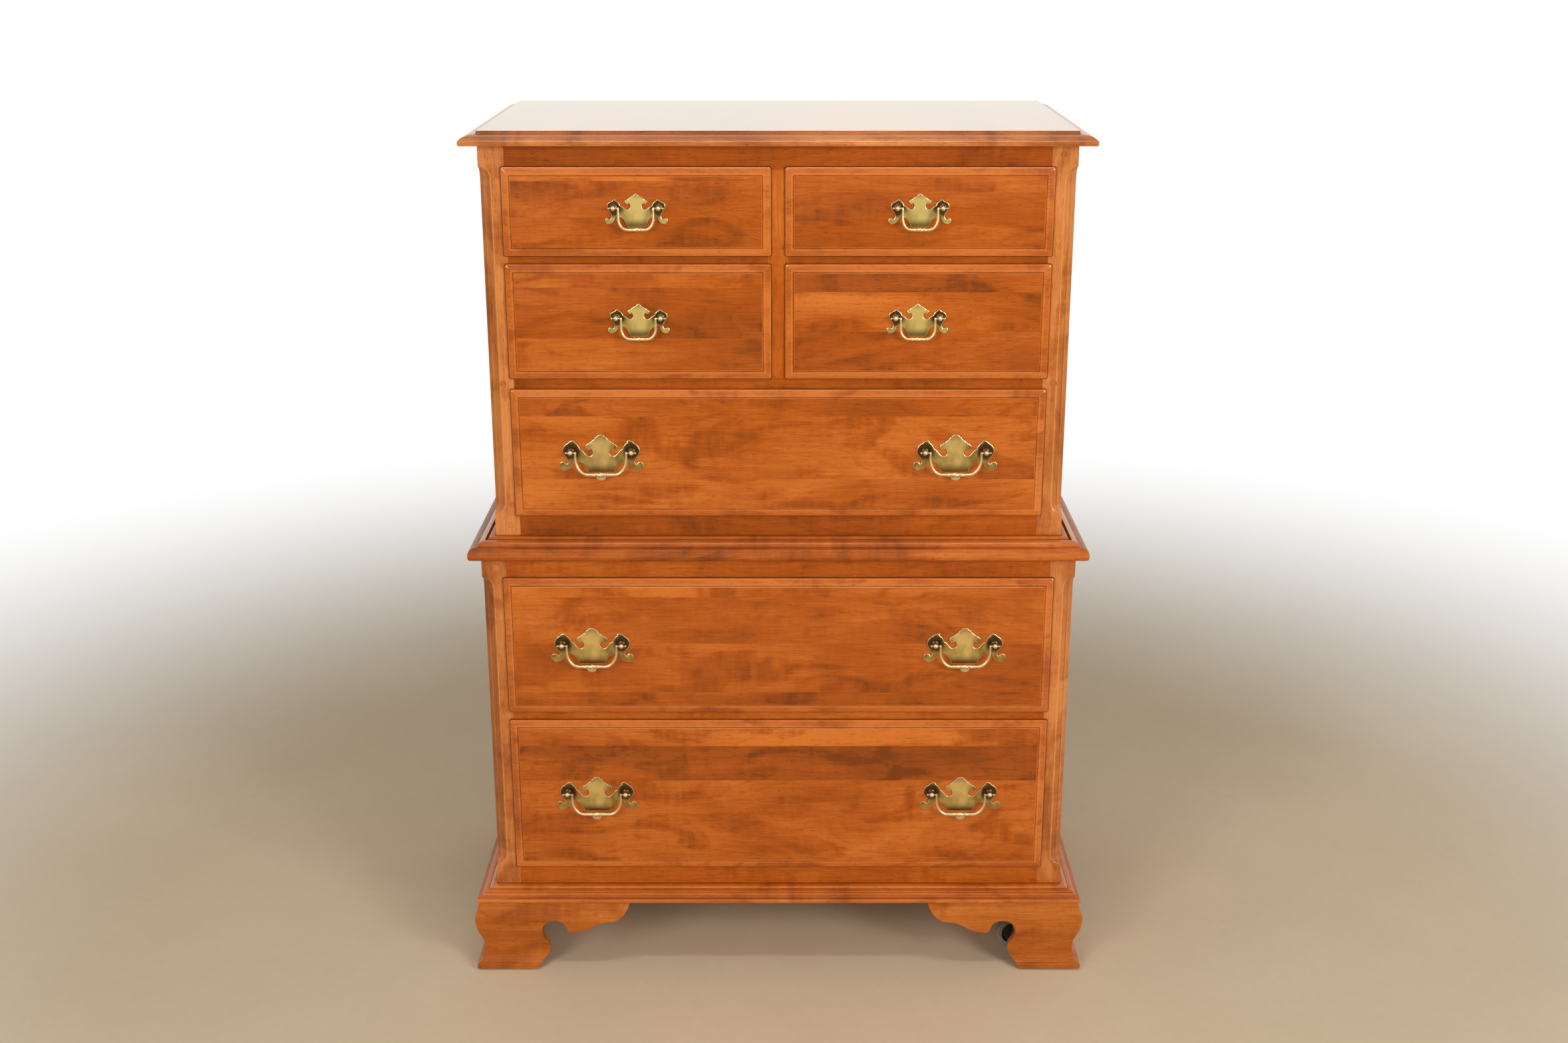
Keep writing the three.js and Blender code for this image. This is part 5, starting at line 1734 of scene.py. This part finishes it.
@dataclass
class Pulls:
    """Bail pulls: plates with a bevelled rim, rubbed bright with a painted highlight, posts with ball heads,
    and swinging bails.

    The collar is [radius, distance behind the plate's face], and the nut is [radius, distance behind the
    inside of the drawer front], both in millimetres. A row of the pendant is [depth, share of its outline].
    """

    plate_thickness: float = 1.6 * MM
    plate_weld: float = 0.002 * MM
    flat: float = 0.999
    crease: float = math.radians(21)
    rim: float = 0.7 * MM
    projection: float = 12 * MM
    lip_reach: float = 7.1 * MM
    plate_gap: float = 0.3 * MM
    ball: float = 3.9 * MM
    ball_turn: float = 0.8 * math.pi
    ball_steps: int = 9
    collar: Outline = field(default_factory=lambda: [
        (2.4, -3.4), (3.0, -2.9), (4.2, -2.5), (5.32, -1.7), (5.6, -0.8), (5.6, 0.3), (1.9, 0.4)])
    bolt: float = 1.9 * MM
    bolt_short: float = 1 * MM
    inside: float = 12.3 * MM
    nut: Outline = field(default_factory=lambda: [(0, 0), (3.8, 0), (4.2, 0.4), (4.2, 2.6), (3.8, 3), (0, 3)])
    nut_sides: int = 6
    sides: int = 28
    wire_sides: int = 16
    wire_end: float = 0.72
    eye_levels: Pair = (0.9, 0.2)
    eye_foot: float = -2.5
    straight_share: float = 0.6
    corner_share: float = 0.55
    corner_steps: int = 14
    swell: float = 1.3
    bead_sides: int = 24
    pin: float = 1.2 * MM
    pin_sides: int = 16
    knob: float = 1.8 * MM
    knob_gap: float = 0.5 * MM
    knob_steps: int = 8
    pendant_middle: float = -5.4
    pendant_rows: tuple[Pair, ...] = ((-1.0, 0.86), (-0.7, 1.0), (0.7, 1.0), (1.0, 0.86))

    @property
    def axis_y(self) -> float:
        """The bail's axis in front of the case's face."""
        return -self.lip_reach - self.projection

    @property
    def plate_back(self) -> float:
        """The plate's back in front of the case's face."""
        return -self.lip_reach - self.plate_gap

    def flat_plate(self, kind: PullKind) -> Mesh:
        """The plate lying flat, with a bevel along both edges of its outline.

        Args:
            kind: The kind of pull.

        Returns:
            Its mesh, which lies in the plane of its x and y.
        """
        outline = scaled(mirrored_half(joined_runs([list(run) for run in kind.runs], 3)))
        curve = bpy.data.curves.new(f"{kind.name}_plate_outline", "CURVE")
        curve.dimensions = "2D"
        curve.fill_mode = "BOTH"
        curve.extrude = self.plate_thickness / 2 - self.rim
        curve.bevel_depth = self.rim
        curve.bevel_resolution = 1
        curve.offset = -self.rim
        line = curve.splines.new("POLY")
        line.points.add(len(outline) - 1)
        for point, (x, z) in zip(line.points, outline):
            point.co = (x, z, 0.0, 1.0)
        line.use_cyclic_u = True
        holder = shown(f"{kind.name}_plate_holder", curve)
        bpy.context.view_layer.update()
        mesh = bpy.data.meshes.new_from_object(holder.evaluated_get(bpy.context.evaluated_depsgraph_get()))
        bpy.data.objects.remove(holder)
        return mesh

    def plate_mesh(self, kind: PullKind) -> Mesh:
        """The plate with its posts, around the middle between the posts, on the case's face.

        Args:
            kind: The kind of pull.

        Returns:
            The mesh, whose rim has the second finish.
        """
        work = bmesh.new()
        work.from_mesh(self.flat_plate(kind))
        for vertex in work.verts:
            x, z, depth = vertex.co
            vertex.co = (x, self.plate_back - self.plate_thickness / 2 - depth, z)
        bmesh.ops.reverse_faces(work, faces=work.faces)
        bmesh.ops.remove_doubles(work, verts=work.verts, dist=self.plate_weld)
        work.normal_update()
        for face in work.faces:
            face.material_index = int(abs(face.normal.y) < self.flat)
        nut = [(radius, self.inside + along) for radius, along in scaled(self.nut)]
        for side in (-1, 1):
            centre = Vector((side * kind.boring / 2 * MM, 0, 0))
            add_rings(work, turned_rings(self.post_profile(), self.sides, Grain.DEEP, centre))
            add_rings(work, turned_rings(nut, self.nut_sides, Grain.DEEP, centre))
        return finish_mesh(work, f"{kind.name}_pull_plate", self.crease)

    @staticmethod
    def ball_profile(radius: float, turn: float, steps: int, centre: float) -> Outline:
        """Part of a ball's profile from one end of its axis.

        Args:
            radius: The ball's radius.
            turn: How far the profile turns about the ball's centre.
            steps: Its segments.
            centre: Where the centre lies on the axis.

        Returns:
            Points [radius, distance along the axis].
        """
        turns = [turn * k / steps for k in range(steps + 1)]
        return [(radius * math.sin(angle), centre - radius * math.cos(angle)) for angle in turns]

    def post_profile(self) -> Outline:
        """Profile of a post from its ball head back to its bolt's end.

        Returns:
            Points [radius, distance along the axis].
        """
        front = self.plate_back - self.plate_thickness
        bolt_end = self.inside - self.bolt_short
        rows = self.ball_profile(self.ball, self.ball_turn, self.ball_steps, self.axis_y)
        rows += [(radius, front + along) for radius, along in scaled(self.collar)]
        return rows + [(self.bolt, bolt_end), (0.0, bolt_end)]

    def wire_route(self, kind: PullKind) -> list[tuple[Vector, float]]:
        """The wire of a bail, from its left pin to the right one.

        Args:
            kind: The kind of pull.

        Returns:
            Points around the hinge axis, each with the wire's radius.
        """
        half, drop, bar, top = kind.span / 2, -kind.drop, kind.bar, -kind.straight
        keep = 1 - self.corner_share
        first, last = Vector((-half, top)), Vector((-bar, drop))
        out, down = Vector((-half, drop + (top - drop) * keep)), Vector(((half - bar) * keep - half, drop))
        left = [Vector((-half, kind.wire_top * share)) for share in self.eye_levels]
        left += [Vector((-half, self.eye_foot)), Vector((-half, top * self.straight_share))]
        for k in range(self.corner_steps + 1):
            t = k / self.corner_steps
            s = 1 - t
            left.append(first * s ** 3 + out * 3 * s * s * t + down * 3 * s * t * t + last * t ** 3)
        left.append(Vector((-bar * self.straight_share, drop)))
        route = []
        for point in left + [Vector((-p.x, p.y)) for p in reversed(left)]:
            share = min(1.0, max(0.0, -point.y / kind.drop)) ** self.swell
            radius = kind.wire_top + (kind.wire_low - kind.wire_top) * share
            route.append((Vector((point.x, 0.0, point.y)) * MM, radius * MM))
        return route

    def wire_rings(self, kind: PullKind) -> list[Ring]:
        """Rings of a bail's wire.

        Args:
            kind: The kind of pull.

        Returns:
            The rings along the wire.
        """
        route = self.wire_route(kind)
        last = len(route) - 1
        deep = Vector((0, 1, 0))
        circle = turned_rings([(1.0, 0.0)], self.wire_sides, Grain.UPRIGHT, Vector())[0]
        rings = []
        for i, (point, radius) in enumerate(route):
            out = (route[min(i + 1, last)][0] - route[max(i - 1, 0)][0]).normalized().cross(deep)
            size = radius * (self.wire_end if i in (0, last) else 1.0)
            rings.append([point + (deep * spot.x + out * spot.y) * size for spot in circle])
        return rings

    def bail_mesh(self, kind: PullKind) -> Mesh:
        """The bail around its hinge axis.

        Args:
            kind: The kind of pull.

        Returns:
            The mesh of its wire, beads, pins and pendant.
        """
        bar = Vector((0, 0, -kind.drop * MM))
        right = [(radius * MM, x * MM) for x, radius in kind.beads]
        beads = [(radius, -x) for radius, x in reversed(right[1:])] + right
        beads = [(0.0, beads[0][1])] + beads + [(0.0, beads[-1][1])]
        turned = [(beads, self.bead_sides, bar)]
        knob_at = kind.boring / 2 * MM + self.ball + self.knob_gap + self.knob
        for side in (-1, 1):
            start, end = sorted((side * kind.span / 2 * MM, side * knob_at))
            pin = [(0.0, start), (self.pin, start), (self.pin, end), (0.0, end)]
            turned.append((pin, self.pin_sides, Vector()))
            knob = self.ball_profile(self.knob, math.pi, self.knob_steps, side * knob_at)
            turned.append((knob, self.pin_sides, Vector()))
        shells = [(self.wire_rings(kind), False)]
        shells += [(turned_rings(profile, sides, Grain.ACROSS, at), False) for profile, sides, at in turned]
        if kind.pendant:
            outline = mirrored_half(curved(list(kind.pendant), 2))
            middle = self.pendant_middle
            rows = [[bar + Vector((x * share, depth, (z - middle) * share + middle)) * MM for x, z in outline]
                    for depth, share in self.pendant_rows]
            shells.append((rows, False))
        return rings_mesh(f"{kind.name}_pull_bail", shells)

    def finishes(self, kind: PullKind) -> tuple[list[Finish], list[Finish]]:
        """The finishes of one kind of pull.

        Args:
            kind: The kind of pull.

        Returns:
            The finishes of its plate and those of its bail.
        """
        brass = BRASS[kind.name]
        start = f"antique_brass_{kind.name}"
        top, foot = kind.runs[0][0][1] * MM, -kind.runs[-1][-1][1] * MM
        plate = brass.plate(f"{start}_plate", kind.boring * MM, top, foot)
        return [plate, brass.rim(f"{start}_rim")], [brass.bail(f"{start}_bail")]

    def build(self, joints: list[dict]) -> None:
        """Build the ten pulls at the bail hinges.

        Args:
            joints: The record's joints.
        """
        kinds = {"small": SMALL_PULL, "large": LARGE_PULL}
        meshes = {name: (self.plate_mesh(kind), self.bail_mesh(kind)) for name, kind in kinds.items()}
        finishes = {name: self.finishes(kind) for name, kind in kinds.items()}
        for joint in joints:
            if not joint["name"].endswith("_bail_swing"):
                continue
            label = joint["name"].removesuffix("_bail_swing")
            name = "small" if label.startswith(("top", "second")) else "large"
            at = Vector(joint["pos_m"])
            plate = shown(f"{label}_pull_plate_and_posts", meshes[name][0].copy())
            bail = shown(f"{label}_swinging_bail", meshes[name][1].copy())
            plate.location = at - Vector((0, self.axis_y, 0))
            bail.location = at
            for piece, finish in zip((plate, bail), finishes[name]):
                dress_worked(piece, finish)
            seat(plate, joint["parent"], (f"{label}_pull_plate",))
            seat(bail, joint["child"], (f"{label}_pull_bail",))


# Boards that keep the frame's meshes


@dataclass
class CaseBoards:
    """Sides, back, drawer frames and drawer boxes: the frame's own meshes with better finishes."""

    stile: Triple = (14.5 * MM, 944.7 * MM, 1240 * MM)
    # The upper frame is darker than the lower one, partly as painted shade for the shadow under the top
    # board's overhang.
    frame_shades: dict[str, float] = field(default_factory=lambda: {"upper": 0.24, "lower": 0.08})
    frame_figures: dict[str, float] = field(default_factory=lambda: {"upper": 81.0, "lower": 83.7})
    side_figures: dict[str, float] = field(default_factory=lambda: {
        "upper_left": 71.0, "upper_right": 72.9, "lower_left": 74.3, "lower_right": 76.2})
    back_figure: float = 5.0
    box_figure: float = 1.7

    def build(self) -> None:
        """Dress them all."""
        for place, figure in self.side_figures.items():
            name = f"{place}_side"
            dress_node(name, MAPLE.material(f"maple_{name}", Grain.UPRIGHT_SIDE, figure))
        for case, figure in self.frame_figures.items():
            name = f"{case}_drawer_frame"
            stile = self.stile if case == "upper" else None
            shade = self.frame_shades[case]
            finish = RAIL_MAPLE.material(f"maple_{name}", Grain.ACROSS, figure, shade=shade, stile=stile)
            dress_node(name, finish)
        dress_node("back_panel", PLAIN_WOOD.material("plain_back", Grain.UPRIGHT, self.back_figure))
        for i, drawer in enumerate(DRAWERS):
            name = f"{drawer}_drawer_box"
            dress_node(name, PLAIN_WOOD.material(f"plain_{name}", Grain.DEEP, self.box_figure * i))


# Studio


@dataclass
class Studio:
    """Pale floor, soft lamps and the camera."""

    focal: float = 42.83
    sensor: float = 36.0
    camera_at: Triple = (0.0083, -2.834, 1.569)
    pitch_down: float = 17.8
    aim: Triple = (0.0, 0.0, 0.75)
    lamps: tuple[tuple[Triple, Pair, float], ...] = (
        ((-1.9, -3.2, 1.9), (1.2, 1.2), 41.0), ((2.4, -2.9, 1.7), (1.2, 1.2), 60.0),
        ((0.0, -1.3, 3.2), (1.6, 0.3), 15.0))
    ambient: float = 0.29
    glossy_front: float = 0.5
    glossy_side: float = 0.9
    glossy_wall: float = 1.08
    wall_span: Pair = (-0.25, 0.5)
    side_span: Pair = (0.5, 0.85)
    upper_span: Pair = (0.4, 0.75)
    wall_tint: Triple = (1.0, 0.955, 0.88)
    white: Triple = (1.0, 1.0, 1.0)
    floor_radius: float = 9.0
    floor_sides: int = 64
    floor_pale: Triple = (0.82, 0.66, 0.45)
    floor_dark: Triple = (0.64, 0.5, 0.32)
    floor_cloud: Triple = (2.2, 5.0, 0.6)
    cloud_share: float = 0.8
    floor_speck: Triple = (60.0, 3.0, 0.6)
    speck_share: float = 0.3
    floor_roughness: float = 0.7
    floor_fade: Pair = (1.0, 3.0)

    def camera(self) -> None:
        """Set the camera at the photograph's place and angle."""
        data = bpy.data.cameras.new("camera")
        data.lens = self.focal
        data.sensor_width = self.sensor
        data.sensor_fit = "HORIZONTAL"
        camera = shown("camera", data)
        camera.location = self.camera_at
        camera.rotation_euler = (QUARTER_TURN - math.radians(self.pitch_down), 0, 0)
        bpy.context.scene.camera = camera

    def lights(self) -> None:
        """Soft lamps aimed at the chest."""
        for i, (place, (wide, high), power) in enumerate(self.lamps):
            data = bpy.data.lights.new(f"soft_lamp_{i}", "AREA")
            data.shape = "RECTANGLE"
            data.size, data.size_y = wide, high
            data.energy = power
            lamp = shown(data.name, data)
            lamp.location = place
            lamp.rotation_euler = (Vector(self.aim) - Vector(place)).to_track_quat("-Z", "Y").to_euler()

    def surround(self) -> None:
        """A white surround, which polished faces mirror as a room that is darker in front."""
        world = bpy.data.worlds.new("white_room")
        bpy.context.scene.world = world
        world.use_nodes = True
        background = world.node_tree.nodes["Background"]
        w = Weave(world.node_tree)
        path = w.node("ShaderNodeLightPath")
        mirrored = path.outputs["Is Glossy Ray"]
        w.link(w.mix(mirrored, self.white, self.wall_tint), background.inputs["Color"])
        x, y, z = w.split(w.node("ShaderNodeTexCoord").outputs["Generated"])
        wall = w.span(y, *self.wall_span, self.glossy_front, self.glossy_wall)
        side = w.span(w.math("ABSOLUTE", x), *self.side_span, 0.0, self.glossy_side)
        upper = w.span(z, *self.upper_span, 0.0, self.glossy_side)
        room = w.math("SUBTRACT", w.most(wall, side, upper), self.ambient)
        level = w.math("MULTIPLY_ADD", mirrored, room, self.ambient)
        level = w.most(level, path.outputs["Is Camera Ray"], path.outputs["Is Transmission Ray"])
        w.link(level, background.inputs["Strength"])

    def floor(self) -> None:
        """A pale floor that fades to white away from the chest."""
        rings = turned_rings([(self.floor_radius, 0.0)], self.floor_sides, Grain.UPRIGHT, Vector())
        work = bmesh.new()
        work.faces.new([work.verts.new(point) for point in rings[0]])
        mesh = bpy.data.meshes.new("floor")
        work.to_mesh(mesh)
        work.free()
        floor = shown("floor", mesh)
        w = Surface("pale_floor")
        place = w.place()
        x, y, _ = w.split(place)
        cloud = w.math("MULTIPLY", w.noise(place, *self.floor_cloud), self.cloud_share)
        share = w.math("MULTIPLY_ADD", w.noise(place, *self.floor_speck), self.speck_share, cloud, clamp=True)
        w.paint(w.mix(share, self.floor_pale, self.floor_dark))
        w.set(Roughness=self.floor_roughness)
        glow = w.node("ShaderNodeEmission")
        glow.inputs["Color"].default_value = (*self.white, 1.0)
        blend = w.node("ShaderNodeMixShader")
        seen = w.node("ShaderNodeLightPath").outputs["Is Camera Ray"]
        w.link(w.math("MULTIPLY", w.span(w.reach(x, y), *self.floor_fade), seen), blend.inputs[0])
        w.link(w.shader.outputs[0], blend.inputs[1])
        w.link(glow.outputs[0], blend.inputs[2])
        w.link(blend.outputs[0], w.tree.nodes["Material Output"].inputs["Surface"])
        dress(floor, w.material)

    def build(self) -> None:
        """Build the studio."""
        self.camera()
        self.lights()
        self.surround()
        self.floor()
        bpy.context.scene.view_settings.view_transform = "Standard"


def main() -> None:
    """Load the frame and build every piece."""
    logging.basicConfig(level=logging.INFO, format="%(name)s: %(message)s")
    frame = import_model()
    places = Places.read()
    Studio().build()
    CaseBoards().build()
    Mouldings(places).build()
    CornerPosts(places).build()
    DrawerFronts(places).build()
    Feet(places).build()
    Casters().build()
    Pulls().build(frame["joints"])
    bpy.context.view_layer.update()


if __name__ == "__main__":
    main()
